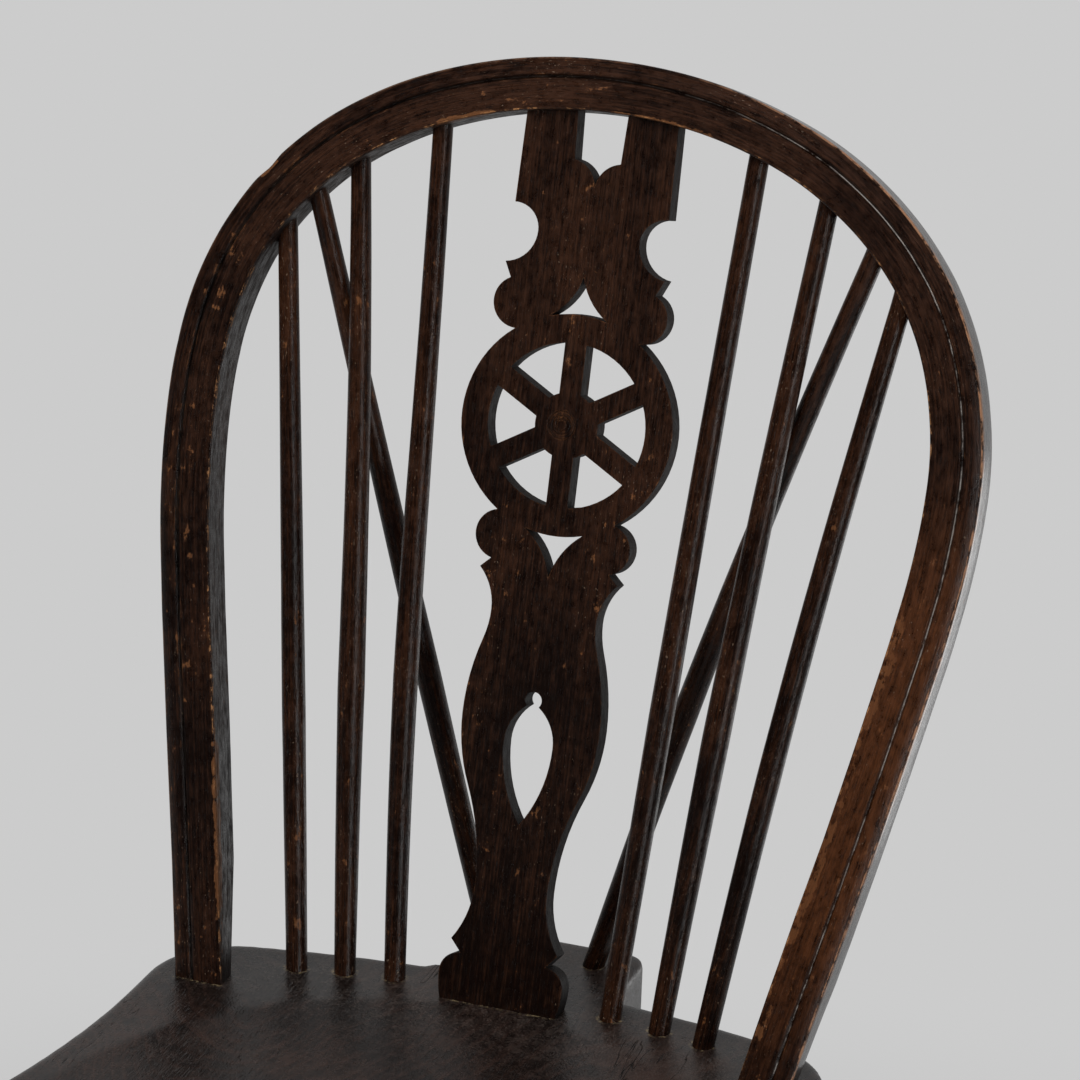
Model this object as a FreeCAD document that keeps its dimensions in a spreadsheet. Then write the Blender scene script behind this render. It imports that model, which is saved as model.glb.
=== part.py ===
import FreeCAD, Part
import math
import os

import Sketcher
from FreeCAD import Placement, Rotation, Vector

# A wheelback side chair: a saddled seat with a bobtail, a bent hoop, a pierced wheel splat,
# six sticks, two braces, four turned legs and an H of turned stretchers.
# Millimetres, +Z up. The chair faces -Y and stands on Z = 0 under the middle of its own box.
# Heights on the splat and the hoop are measured up their own sloping planes, from the seat's deck.

SIZES = {
    # Seat
    "seat_height": 445.0,
    "seat_thickness": 38.0,
    "seat_depth": 412.0,
    "splat_setback": 34.8,
    "back_bow_half_width": 97.0,
    "back_bow_drop": 7.0,
    "back_bow_radius": 560.0,
    "back_corner_drop": 23.6,
    "back_half_width": 173.3,
    "back_corner_radius": 46.0,
    "waist_setforward": 115.0,
    "waist_ease": 1.1,
    "front_half_width": 214.0,
    "widest_to_front": 118.0,
    "widest_radius": 110.0,
    "front_corner_half_width": 201.0,
    "front_corner_back": 14.0,
    "front_corner_radius": 62.0,
    "front_bow_half_width": 70.0,
    "front_bow_radius": 900.0,
    "bobtail_length": 51.0,
    "bobtail_half_width": 48.5,
    "bobtail_corner_radius": 9.0,
    "bobtail_root_radius": 3.0,
    "bobtail_root_drop": 2.0,
    "deck_edge_radius": 4.0,
    "under_edge_bevel": 6.0,
    # Saddle: one wide bowl, whose back edge shows as a soft line on the deck
    "saddle_to_front": 192.0,
    "saddle_half_width": 170.0,
    "saddle_half_length": 182.0,
    "saddle_depth": 9.0,
    "saddle_lift": 6.0,
    # Hoop
    "hoop_rake": 19.34,
    "hoop_setforward": 30.6,
    "hoop_foot_half_spread": 145.4,
    "hoop_lean": 10.85,
    "hoop_half_width": 193.3,
    "hoop_rise": 461.0,
    "hoop_side_radius": 411.0,
    "hoop_shoulder_radius": 163.0,
    "hoop_crown_radius": 240.5,
    "hoop_face": 25.2,
    "hoop_thickness": 22.9,
    "hoop_back_round": 2.5,
    "hoop_arris": 0.8,
    "hoop_flat": 15.1,
    "hoop_groove_width": 1.8,
    "hoop_groove_depth": 1.5,
    "hoop_bead_fall": 2.6,
    "hoop_bead_radius": 11.0,
    "hoop_foot_thickness": 13.6,
    "hoop_taper_height": 58.0,
    "wedge_length": 18.0,
    "wedge_thickness": 3.0,
    "wedge_tip": 0.6,
    # Splat: its foot is measured up from the deck, and the rest from the wheel's hub
    "splat_lean": 0.6,
    "splat_thickness": 11.3,
    "splat_tenon": 12.0,
    "foot_half_width": 29.8,
    "foot_cheek_half_width": 32.0,
    "foot_cheek_height": 14.9,
    "foot_notch_half_width": 22.0,
    "foot_notch_rise": 10.1,
    "foot_tip_half_width": 27.6,
    "foot_tip_rise": 6.4,
    "ankle_half_width": 18.7,
    "ankle_rise": 28.2,
    "ankle_share": 0.58,
    "hip_half_width": 35.5,
    "hip_below_hub": 145.2,
    "hip_share": 0.72,
    "waist_half_width": 27.0,
    "waist_below_hub": 93.3,
    "lower_nose_half_width": 35.3,
    "lower_nose_below_hub": 73.3,
    "lower_notch_half_width": 30.2,
    "lower_notch_below_hub": 68.5,
    "lower_ear_below_hub": 44.7,
    "hub_below_hoop": 151.0,
    "wheel_radius": 53.8,
    "wheel_bore_radius": 40.0,
    "hub_radius": 16.0,
    "spokes": 6.0,
    "spoke_width": 11.0,
    "upper_ear_above_hub": 43.4,
    "upper_notch_half_width": 37.0,
    "upper_notch_above_hub": 67.5,
    "ear_slack": 1.025,
    "upper_nose_half_width": 40.6,
    "upper_nose_above_hub": 75.0,
    "bite_half_width": 25.9,
    "bite_above_hub": 91.4,
    "strap_corner_half_width": 39.2,
    "strap_corner_above_hub": 103.9,
    "strap_half_width": 38.2,
    "strap_gap_foot_half_width": 11.7,
    "strap_gap_head_half_width": 13.2,
    "strap_gap_rise": 11.9,
    "strap_tenon": 11.0,
    "heart_above_hub": 115.8,
    "heart_slack": 1.68,
    "arch_apex_above_hub": 71.6,
    "arch_half_width": 14.4,
    "vee_apex_below_hub": 74.1,
    "vee_half_width": 14.6,
    "lobe_slack": 2.8,
    "drop_half_width": 12.5,
    "drop_length": 39.7,
    "drop_shoulder": 18.7,
    "drop_neck_half_width": 3.0,
    "drop_neck_below_hub": 137.3,
    "drop_eye_radius": 4.2,
    "ring_offset": 2.4,
    "ring_groove_width": 0.8,
    "ring_groove_depth": 0.5,
    "outer_ring_radius": 7.1,
    "middle_ring_radius": 5.0,
    "inner_ring_radius": 3.2,
    # Sticks and braces: feet on the deck behind the splat's face, heads up the hoop
    "stick_foot_radius": 5.3,
    "stick_head_radius": 4.9,
    "stick_belly_share": 0.36,
    "stick_foot_socket": 22.0,
    "stick_head_socket": 9.0,
    "outer_stick_belly": 5.4,
    "middle_stick_belly": 6.5,
    "inner_stick_belly": 6.0,
    "brace_belly": 6.3,
    "outer_stick_foot_left": 106.6,
    "outer_stick_foot_right": 105.2,
    "outer_stick_back": 2.5,
    "outer_stick_head_left": 158.5,
    "outer_stick_head_right": 153.4,
    "middle_stick_foot_left": 83.1,
    "middle_stick_foot_right": 81.0,
    "middle_stick_back": 7.8,
    "middle_stick_head_left": 125.7,
    "middle_stick_head_right": 111.2,
    "inner_stick_foot_left": 58.2,
    "inner_stick_foot_right": 54.4,
    "inner_stick_back": 11.9,
    "inner_stick_head_left": 86.4,
    "inner_stick_head_right": 74.0,
    "brace_foot_left": 26.7,
    "brace_foot_right": 26.9,
    "brace_back": 64.2,
    "brace_head_left": 144.4,
    "brace_head_right": 137.0,
    # Legs
    "front_leg_half_spread": 146.0,
    "front_leg_to_front": 72.0,
    "front_foot_half_spread": 188.0,
    "front_foot_to_front": 22.0,
    "rear_leg_half_spread": 118.0,
    "rear_leg_setback": 62.0,
    "rear_foot_half_spread": 176.0,
    "rear_foot_back": 94.0,
    "leg_tenon_radius": 11.0,
    "leg_tenon_length": 25.0,
    "leg_neck_length": 6.0,
    "leg_vase_radius": 18.5,
    "leg_vase_drop": 62.0,
    "leg_vase_share": 0.89,
    "leg_cove_radius": 12.5,
    "leg_cove_drop": 108.0,
    "leg_bead_half_width": 13.5,
    "leg_bead_top_drop": 118.0,
    "leg_bead_height": 12.0,
    "leg_bead_slack": 1.17,
    "leg_belly_radius": 20.5,
    "leg_belly_height": 185.0,
    "leg_ankle_radius": 11.5,
    "leg_ankle_height": 40.0,
    "leg_ankle_share": 0.43,
    "leg_foot_radius": 13.5,
    "leg_foot_height": 8.0,
    # Stretchers
    "side_stretcher_height": 172.0,
    "side_stretcher_rise": 12.0,
    "side_stretcher_radius": 15.5,
    "cross_stretcher_radius": 15.0,
    "stretcher_tenon_radius": 7.5,
    "stretcher_tenon_length": 17.0,
    "stretcher_neck_length": 5.0,
    "stretcher_share": 0.44,
    "cross_tenon_length": 12.0,
    # Joints
    "joint_clearance": 0.15,
    "socket_floor_gap": 0.8,
    # How far a cut starts outside the face it enters, and how wide a levelling cut is
    "run_out": 10.0,
    "levelling_width": 400.0,
}


class Size:
    """A size in millimetres or degrees: its number, and the expression that gives it."""

    def __init__(self, value, text):
        self.value = value
        self.text = text

    def __add__(self, other):
        other = as_size(other)
        return Size(self.value + other.value, f"({self.text} + {other.text})")

    def __sub__(self, other):
        other = as_size(other)
        return Size(self.value - other.value, f"({self.text} - {other.text})")

    def __mul__(self, other):
        other = as_size(other)
        return Size(self.value * other.value, f"({self.text} * {other.text})")

    def __truediv__(self, other):
        other = as_size(other)
        return Size(self.value / other.value, f"({self.text} / {other.text})")

    def __rsub__(self, other):
        return as_size(other) - self

    def __rtruediv__(self, other):
        return as_size(other) / self

    def __neg__(self):
        return self * -1.0


def as_size(number):
    return number if isinstance(number, Size) else Size(float(number), f"{float(number)}")


def root(size):
    return Size(math.sqrt(size.value), f"sqrt({size.text})")


def sine(angle):
    return Size(math.sin(math.radians(angle.value)), f"sin({angle.text} * 1 deg)")


def cosine(angle):
    return Size(math.cos(math.radians(angle.value)), f"cos({angle.text} * 1 deg)")


doc = FreeCAD.newDocument("wheelback_chair")
sheet = doc.addObject("Spreadsheet::Sheet", "sizes")
sheet.set("A1", "size")
sheet.set("B1", "value")
for row, (alias, value) in enumerate(SIZES.items(), start=2):
    sheet.set(f"A{row}", alias)
    sheet.set(f"B{row}", f"{value}")
    sheet.setAlias(f"B{row}", alias)
doc.recompute()


class Sheet:
    """Gives each cell of the sheet as a Size, under its alias."""

    def __getattr__(self, alias):
        return Size(float(getattr(sheet, alias)), f"sizes.{alias}")


s = Sheet()
ZERO = as_size(0.0)


def bind(item, prop, size):
    setattr(item, prop, size.value)
    item.setExpression(prop, size.text)


# Places worked out from the sizes

front_reach = s.seat_depth - s.splat_setback
hoop_top = s.hoop_rise + s.hoop_face / 2
back_reach = (
    sine(s.hoop_rake) * hoop_top
    + cosine(s.hoop_rake) * s.hoop_thickness
    - s.hoop_setforward
)
splat_line = (front_reach.value - back_reach.value) / 2
front_edge = splat_line - front_reach.value
deck = s.seat_height.value
underside = deck - s.seat_thickness.value
clearance = s.joint_clearance


def plane_frame(y, rake, lean=0.0):
    """A frame on the deck: local X across, local Y up the raked plane, local Z to the front."""
    upright = Rotation(Vector(1, 0, 0), 90 - rake)
    leaning = Rotation(Vector(0, 0, 1), lean)
    return Placement(Vector(0, y, deck), upright.multiply(leaning))


HOOP_FRAME = plane_frame(splat_line - s.hoop_setforward.value, s.hoop_rake.value)


def along(start, end):
    """A placement at start whose local Z points at end."""
    return Placement(start, Rotation(Vector(0, 0, 1), end - start))


# Helpers for bodies and sketches


def new_body(name, placement):
    body = doc.addObject("PartDesign::Body", name)
    body.Label = name
    body.Placement = placement
    return body


def origin_item(body, role):
    return next(item for item in body.Origin.OriginFeatures if item.Role == role)


def new_sketch(body, name, role, height=None):
    """A sketch on one of the body's own planes, its origin moved up the plane by height."""
    sketch = body.newObject("Sketcher::SketchObject", name)
    sketch.AttachmentSupport = [(origin_item(body, role), "")]
    sketch.MapMode = "FlatFace"
    if height is not None:
        sketch.AttachmentOffset = Placement(Vector(0, height.value, 0), Rotation())
        sketch.setExpression("AttachmentOffset.Base.y", height.text)
    return sketch


class Outline:
    """A closed outline in a sketch, whose corners and radii follow the sizes."""

    def __init__(self, sketch, x, y):
        self.sketch = sketch
        self.first = (x, y)
        self.pen = (x, y)
        self.first_end = None
        self.last_end = None

    def constrain(self, size, *terms):
        value = [] if size is None else [size.value]
        if size is not None and terms[0] == "Angle":
            value = [math.radians(size.value)]
        index = self.sketch.addConstraint(Sketcher.Constraint(*terms, *value))
        if size is not None:
            self.sketch.setExpression(f"Constraints[{index}]", size.text)

    def pin(self, end, x, y):
        """Holds a curve's end at x, y from the sketch's origin."""
        for kind, axis, size in (("DistanceX", -2, x), ("DistanceY", -1, y)):
            if size is ZERO:
                self.constrain(None, "PointOnObject", *end, axis)
            else:
                self.constrain(size, kind, -1, 1, *end)

    def joined(self, start, end, x, y):
        """Joins a new curve's start to the pen and moves the pen to its end."""
        if self.last_end is None:
            self.pin(start, *self.first)
            self.first_end = start
        else:
            self.constrain(None, "Coincident", *self.last_end, *start)
        if (x, y) == self.first:
            self.constrain(None, "Coincident", *end, *self.first_end)
        elif x is not None:
            self.pin(end, x, y)
        self.last_end = end
        self.pen = (x, y)

    def line(self, x, y):
        ends = [Vector(px.value, py.value, 0) for px, py in (self.pen, (x, y))]
        index = self.sketch.addGeometry(Part.LineSegment(*ends))
        self.joined((index, 1), (index, 2), x, y)

    def close(self):
        self.line(*self.first)

    def add_arc(self, start, end, centre, clockwise):
        """Adds an arc and returns its index and its two ends in drawing order."""
        radius = (start - centre).Length
        angles = [math.atan2(p.y - centre.y, p.x - centre.x) for p in (start, end)]
        if clockwise:
            angles.reverse()
        circle = Part.Circle(centre, Vector(0, 0, 1), radius)
        index = self.sketch.addGeometry(Part.ArcOfCircle(circle, *angles))
        ends = ((index, 2), (index, 1)) if clockwise else ((index, 1), (index, 2))
        return index, ends

    def arc(self, x, y, radius, clockwise, large=False):
        """An arc of a given radius to a fixed corner."""
        start, end = [Vector(px.value, py.value, 0) for px, py in (self.pen, (x, y))]
        chord = end - start
        sagitta = math.sqrt(radius.value**2 - chord.Length**2 / 4)
        left = Vector(-chord.y, chord.x, 0).normalize()
        side = -1 if clockwise else 1
        if large:
            side = -side
        index, ends = self.add_arc(start, end, (start + end) / 2 + left * sagitta * side, clockwise)
        self.joined(*ends, x, y)
        self.constrain(radius, "Radius", index)

    def upright_arc(self, x, y, clockwise, upright_at_end):
        """An arc to a fixed corner that runs straight up the sketch at one of its ends."""
        start, end = [Vector(px.value, py.value, 0) for px, py in (self.pen, (x, y))]
        level, far = (end, start) if upright_at_end else (start, end)
        across = far.x - level.x
        rise = far.y - level.y
        reach = (across**2 + rise**2) / (2 * across)
        centre = Vector(level.x + reach, level.y, 0)
        index, ends = self.add_arc(start, end, centre, clockwise)
        self.joined(*ends, x, y)
        level_end = ends[1] if upright_at_end else ends[0]
        self.constrain(None, "Horizontal", index, 3, *level_end)

    def slack_arc(self, x, y, slack, clockwise):
        """An arc to a fixed corner, whose radius is half its chord times a slack."""
        across, rise = x - self.pen[0], y - self.pen[1]
        self.arc(x, y, root(across * across + rise * rise) / 2.0 * slack, clockwise)

    def swell(self, x, y, share):
        """Two tangent arcs that run straight up the sketch at both ends, with a share of their
        two radii for the first."""
        reach = x - self.pen[0] if x.value > self.pen[0].value else self.pen[0] - x
        height = y - self.pen[1]
        radius = (reach * reach + height * height) / (reach * 2.0) * share
        start, end = [Vector(px.value, py.value, 0) for px, py in (self.pen, (x, y))]
        across = end.x - start.x
        rise = end.y - start.y
        half_turn = math.atan2(abs(across), abs(rise))
        total = abs(rise) / math.sin(2 * half_turn)
        side = 1 if across > 0 else -1
        first = Vector(start.x + side * radius.value, start.y, 0)
        second = Vector(end.x - side * (total - radius.value), end.y, 0)
        meeting = first + (second - first) * (radius.value / total)
        clockwise = (across > 0) == (rise > 0)
        one, ends = self.add_arc(start, meeting, first, clockwise)
        two, more = self.add_arc(meeting, end, second, not clockwise)
        self.joined(*ends, None, None)
        self.constrain(None, "Tangent", *ends[1], *more[0])
        self.last_end = more[1]
        self.pen = (x, y)
        self.pin(more[1], x, y)
        self.constrain(None, "Horizontal", one, 3, *ends[0])
        self.constrain(None, "Horizontal", two, 3, *more[1])
        self.constrain(radius, "Radius", one)


def rounded(sketch, corners):
    """A closed outline of straight lines between corners, each corner rounded by its radius."""
    points = [Vector(x.value, y.value, 0) for x, y, radius in corners]
    outline = Outline(sketch, ZERO, ZERO)
    count = len(corners)
    marks = []
    trims = []
    for i, (x, y, radius) in enumerate(corners):
        before = (points[i - 1] - points[i]).normalize()
        after = (points[(i + 1) % count] - points[i]).normalize()
        half = before.getAngle(after) / 2
        trim = 0.0 if radius is None else radius.value / math.tan(half)
        trims.append((points[i] + before * trim, points[i] + after * trim, before, after))
        if radius is not None:
            mark = sketch.addGeometry(Part.Point(points[i]), True)
            outline.pin((mark, 1), x, y)
            marks.append((mark, 1))
        else:
            marks.append(None)
    lines = []
    for i in range(count):
        start, end = trims[i][1], trims[(i + 1) % count][0]
        lines.append(sketch.addGeometry(Part.LineSegment(start, end)))
    for i, (x, y, radius) in enumerate(corners):
        incoming, outgoing = lines[i - 1], lines[i]
        if radius is None:
            outline.constrain(None, "Coincident", incoming, 2, outgoing, 1)
            outline.pin((outgoing, 1), x, y)
            continue
        into, out, before, after = trims[i]
        bisector = (before + after).normalize()
        reach = math.hypot(radius.value, (into - points[i]).Length)
        centre = points[i] + bisector * reach
        clockwise = before.cross(after).z > 0
        index, ends = outline.add_arc(into, out, centre, clockwise)
        outline.constrain(None, "Tangent", incoming, 2, *ends[0])
        outline.constrain(None, "Tangent", *ends[1], outgoing, 1)
        outline.constrain(radius, "Radius", index)
        for line in (incoming, outgoing):
            outline.constrain(None, "PointOnObject", *marks[i], line)


def pad(body, sketch, name, length, backwards=True):
    feature = body.newObject("PartDesign::Pad", name)
    feature.Profile = sketch
    feature.Reversed = backwards
    bind(feature, "Length", length)
    return feature


def pocket_through(body, sketch, name, midplane=True):
    feature = body.newObject("PartDesign::Pocket", name)
    feature.Profile = sketch
    feature.Type = "ThroughAll"
    feature.Midplane = midplane
    return feature


def mirrored(body, feature, name):
    mirror = body.newObject("PartDesign::Mirrored", name)
    mirror.Originals = [feature]
    mirror.MirrorPlane = (origin_item(body, "YZ_Plane"), [""])
    mirror.Refine = True
    body.Tip = mirror
    return mirror


def turned(body, name, sketch):
    """The solid that a half profile makes as it turns about the body's Z axis."""
    feature = body.newObject("PartDesign::Revolution", name)
    feature.Profile = sketch
    feature.ReferenceAxis = (sketch, ["V_Axis"])
    feature.Angle = 360
    return feature


def drill(body, name, placement, radius, depth):
    """A round socket, from a placement in the chair's frame along its local Z."""
    hole = body.newObject("PartDesign::SubtractiveCylinder", name)
    bind(hole, "Radius", radius)
    bind(hole, "Height", depth)
    hole.Placement = body.Placement.inverse() * placement
    return hole


def mortise(body, name, placement, width, depth, length):
    """A square socket, centred on a placement in the chair's frame, along its local Z."""
    hole = body.newObject("PartDesign::SubtractiveBox", name)
    bind(hole, "Length", width)
    bind(hole, "Width", depth)
    bind(hole, "Height", length)
    corner = Placement(Vector(-width.value / 2, -depth.value / 2, 0), Rotation())
    hole.Placement = body.Placement.inverse() * placement * corner
    return hole


def trim_level(body, name, height, keep_above):
    """Cuts the body flat at a height above the floor."""
    slab = s.levelling_width
    base = height - slab.value if keep_above else height
    middle = body.Placement.Base
    placement = Placement(Vector(middle.x, middle.y, base), Rotation())
    return mortise(body, name, placement, slab, slab, slab)


# The hoop's centreline: a straight leg, then side, shoulder and crown arcs, in its own plane

lean = math.radians(s.hoop_lean.value)
side_centre = Vector(s.hoop_half_width.value - s.hoop_side_radius.value, 0, 0)
leg_run = (
    side_centre.x
    + s.hoop_side_radius.value * math.cos(lean)
    - s.hoop_foot_half_spread.value
) / math.sin(lean)
side_centre.y = leg_run * math.cos(lean) + s.hoop_side_radius.value * math.sin(lean)
crown_centre = Vector(0, s.hoop_rise.value - s.hoop_crown_radius.value, 0)


def shoulder_centre():
    """Where the shoulder arc is tangent inside the side arc and the crown arc."""
    to_side = s.hoop_side_radius.value - s.hoop_shoulder_radius.value
    to_crown = s.hoop_crown_radius.value - s.hoop_shoulder_radius.value
    gap = crown_centre - side_centre
    run = (to_side**2 - to_crown**2 + gap.Length**2) / (2 * gap.Length)
    offset = math.sqrt(to_side**2 - run**2)
    forward = Vector(gap).normalize()
    across = Vector(-forward.y, forward.x, 0)
    return side_centre + forward * run + across * offset


SHOULDER = shoulder_centre()


def hoop_inside(x):
    """The height up the hoop's plane of its inner face, at a distance x from the middle."""
    crown_radius = s.hoop_crown_radius.value - s.hoop_face.value / 2
    joint = (SHOULDER - crown_centre).normalize()
    if x <= crown_radius * joint.x:
        return crown_centre.y + math.sqrt(crown_radius**2 - x**2)
    shoulder_radius = s.hoop_shoulder_radius.value - s.hoop_face.value / 2
    return SHOULDER.y + math.sqrt(shoulder_radius**2 - (x - SHOULDER.x) ** 2)


def hoop_seat(side, x):
    """The point on the hoop's inner face, in the middle of its thickness."""
    local = Vector(side * x.value, hoop_inside(x.value), -s.hoop_thickness.value / 2)
    return HOOP_FRAME.multVec(local)


def splat_rake():
    """The rake that brings the middle of the splat's thickness to the middle of the hoop's."""
    reach = hoop_seat(1, ZERO) - Vector(0, splat_line, deck)
    slope = math.atan2(reach.y, reach.z)
    return math.degrees(slope - math.asin(s.splat_thickness.value / 2 / reach.Length))


SPLAT_FRAME = plane_frame(splat_line, splat_rake(), s.splat_lean.value)

# The height up the splat at which its straps meet the hoop's inner face
STRAP_SEAT = as_size(SPLAT_FRAME.inverse().multVec(hoop_seat(1, ZERO)).y)
HUB = STRAP_SEAT - s.hub_below_hoop


# Sticks and braces: name, foot on the deck, head in the hoop, thickest radius

SIDES = {"left": -1, "right": 1}
STICKS = []
for side_name, side in SIDES.items():
    for kind in ("outer_stick", "middle_stick", "inner_stick", "brace"):
        foot = getattr(s, f"{kind}_foot_{side_name}")
        head = getattr(s, f"{kind}_head_{side_name}")
        back = getattr(s, f"{kind}_back")
        belly = getattr(s, f"{kind}_belly")
        foot_point = Vector(side * foot.value, splat_line + back.value, deck)
        STICKS.append((f"{side_name}_{kind}", foot_point, hoop_seat(side, head), belly))


# Legs: name, side, head on the seat's underside, foot on the floor


def leg_points(side, is_front):
    if is_front:
        spread, foot_spread = s.front_leg_half_spread.value, s.front_foot_half_spread.value
        head_y = front_edge + s.front_leg_to_front.value
        foot_y = front_edge + s.front_foot_to_front.value
    else:
        spread, foot_spread = s.rear_leg_half_spread.value, s.rear_foot_half_spread.value
        head_y = splat_line + s.splat_setback.value - s.rear_leg_setback.value
        foot_y = splat_line + s.rear_foot_back.value
    return Vector(side * spread, head_y, underside), Vector(side * foot_spread, foot_y, 0)


LEGS = {}
for end_name in ("front", "rear"):
    for side_name, side in SIDES.items():
        LEGS[side_name, end_name] = leg_points(side, end_name == "front")


def point_at_height(ends, height):
    head, foot = ends
    return foot + (head - foot) * (height / head.z)


# Side stretchers run from the front leg to the rear one, and the cross stretcher joins them
SIDE_STRETCHERS = {}
for side_name in SIDES:
    front = point_at_height(LEGS[side_name, "front"], s.side_stretcher_height.value)
    rear_height = s.side_stretcher_height.value + s.side_stretcher_rise.value
    SIDE_STRETCHERS[side_name] = (front, point_at_height(LEGS[side_name, "rear"], rear_height))
CROSS = [(front + rear) / 2 for front, rear in SIDE_STRETCHERS.values()]


def stretcher_frame(start, end):
    """The placement of a stretcher's middle and the half of its length between leg centres."""
    middle = (start + end) / 2
    return along(middle, end), (end - start).Length / 2


def make_seat():
    body = new_body("seat", Placement(Vector(0, splat_line, deck), Rotation()))
    sketch = new_sketch(body, "seat_outline", "XY_Plane")
    back = s.splat_setback
    side_back = back - s.back_corner_drop
    # The waist's hollow takes a share of the runs on both sides of its corner
    waist_in = s.front_half_width - s.back_half_width
    waist_run = front_reach - s.widest_to_front - s.waist_setforward
    waist_slant = root(waist_in * waist_in + waist_run * waist_run)
    back_run = side_back + s.waist_setforward
    waist_trim = s.waist_ease * back_run * waist_slant / (back_run + waist_slant)
    waist_radius = waist_trim * waist_in / (waist_slant - waist_run)
    half = [
        (s.bobtail_half_width, back + s.bobtail_length, s.bobtail_corner_radius),
        (s.bobtail_half_width, back - s.bobtail_root_drop, s.bobtail_root_radius),
        (s.back_bow_half_width, back - s.back_bow_drop, s.back_bow_radius),
        (s.back_half_width, side_back, s.back_corner_radius),
        (s.back_half_width, -s.waist_setforward, waist_radius),
        (s.front_half_width, s.widest_to_front - front_reach, s.widest_radius),
        (s.front_corner_half_width, s.front_corner_back - front_reach, s.front_corner_radius),
        (s.front_bow_half_width, -front_reach, s.front_bow_radius),
    ]
    corners = [(ZERO, back + s.bobtail_length, None), *half, (ZERO, -front_reach, None)]
    rounded(sketch, corners)
    slab = pad(body, sketch, "seat_plank", s.seat_thickness)
    whole = mirrored(body, slab, "seat_plank_whole")
    doc.recompute()
    edges = {"top": [], "under": []}
    for number, edge in enumerate(whole.Shape.Edges, start=1):
        box = edge.BoundBox
        if box.ZLength < 0.01:
            edges["top" if box.ZMin > -0.01 else "under"].append(f"Edge{number}")
    rounding = body.newObject("PartDesign::Fillet", "deck_edge")
    rounding.Base = (whole, edges["top"])
    bind(rounding, "Radius", s.deck_edge_radius)
    doc.recompute()
    bevel_edges = []
    for number, edge in enumerate(rounding.Shape.Edges, start=1):
        if edge.BoundBox.ZMax < -s.seat_thickness.value + 0.01:
            bevel_edges.append(f"Edge{number}")
    bevel = body.newObject("PartDesign::Chamfer", "under_edge")
    bevel.Base = (rounding, bevel_edges)
    bind(bevel, "Size", s.under_edge_bevel)
    bowl = body.newObject("PartDesign::SubtractiveEllipsoid", "saddle")
    height = s.saddle_lift + s.saddle_depth
    share = s.saddle_lift / height
    spread = root(1.0 - share * share)
    bind(bowl, "Radius1", s.saddle_half_width / spread)
    bind(bowl, "Radius2", height)
    bind(bowl, "Radius3", s.saddle_half_length / spread)
    middle = Vector(0, (s.saddle_to_front - front_reach).value, s.saddle_lift.value)
    bowl.Placement = Placement(middle, Rotation(Vector(0, 1, 0), 90))
    for name, foot, head, belly in STICKS:
        bottom = foot + (foot - head).normalize() * (s.stick_foot_socket + s.socket_floor_gap).value
        depth = s.stick_foot_socket + s.socket_floor_gap + s.run_out
        drill(body, f"{name}_socket", along(bottom, head), s.stick_foot_radius + clearance, depth)
    for side_name, side in SIDES.items():
        start = Placement(Vector(0, 2 * s.run_out.value, 0), Rotation(Vector(1, 0, 0), 90))
        placement = leg_of_hoop(side) * start
        through = s.seat_thickness * 2.0
        width = s.hoop_face + clearance * 2.0
        thickness = s.hoop_foot_thickness + clearance * 2.0
        mortise(body, f"{side_name}_hoop_mortise", placement, width, thickness, through)
    above = Vector(0, s.run_out.value, -s.splat_thickness.value / 2)
    down = Placement(above, Rotation(Vector(1, 0, 0), 90))
    width = s.foot_half_width * 2.0 + clearance * 2.0
    thickness = s.splat_thickness + clearance * 2.0
    depth = s.splat_tenon + s.socket_floor_gap + s.run_out
    mortise(body, "splat_mortise", SPLAT_FRAME * down, width, thickness, depth)
    for (side_name, end_name), (head, foot) in LEGS.items():
        into = head + (foot - head).normalize() * s.run_out.value
        beyond = head + (head - foot)
        depth = s.leg_tenon_length + s.socket_floor_gap + s.run_out
        name = f"{side_name}_{end_name}_leg_socket"
        drill(body, name, along(into, beyond), s.leg_tenon_radius + clearance, depth)


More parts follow.
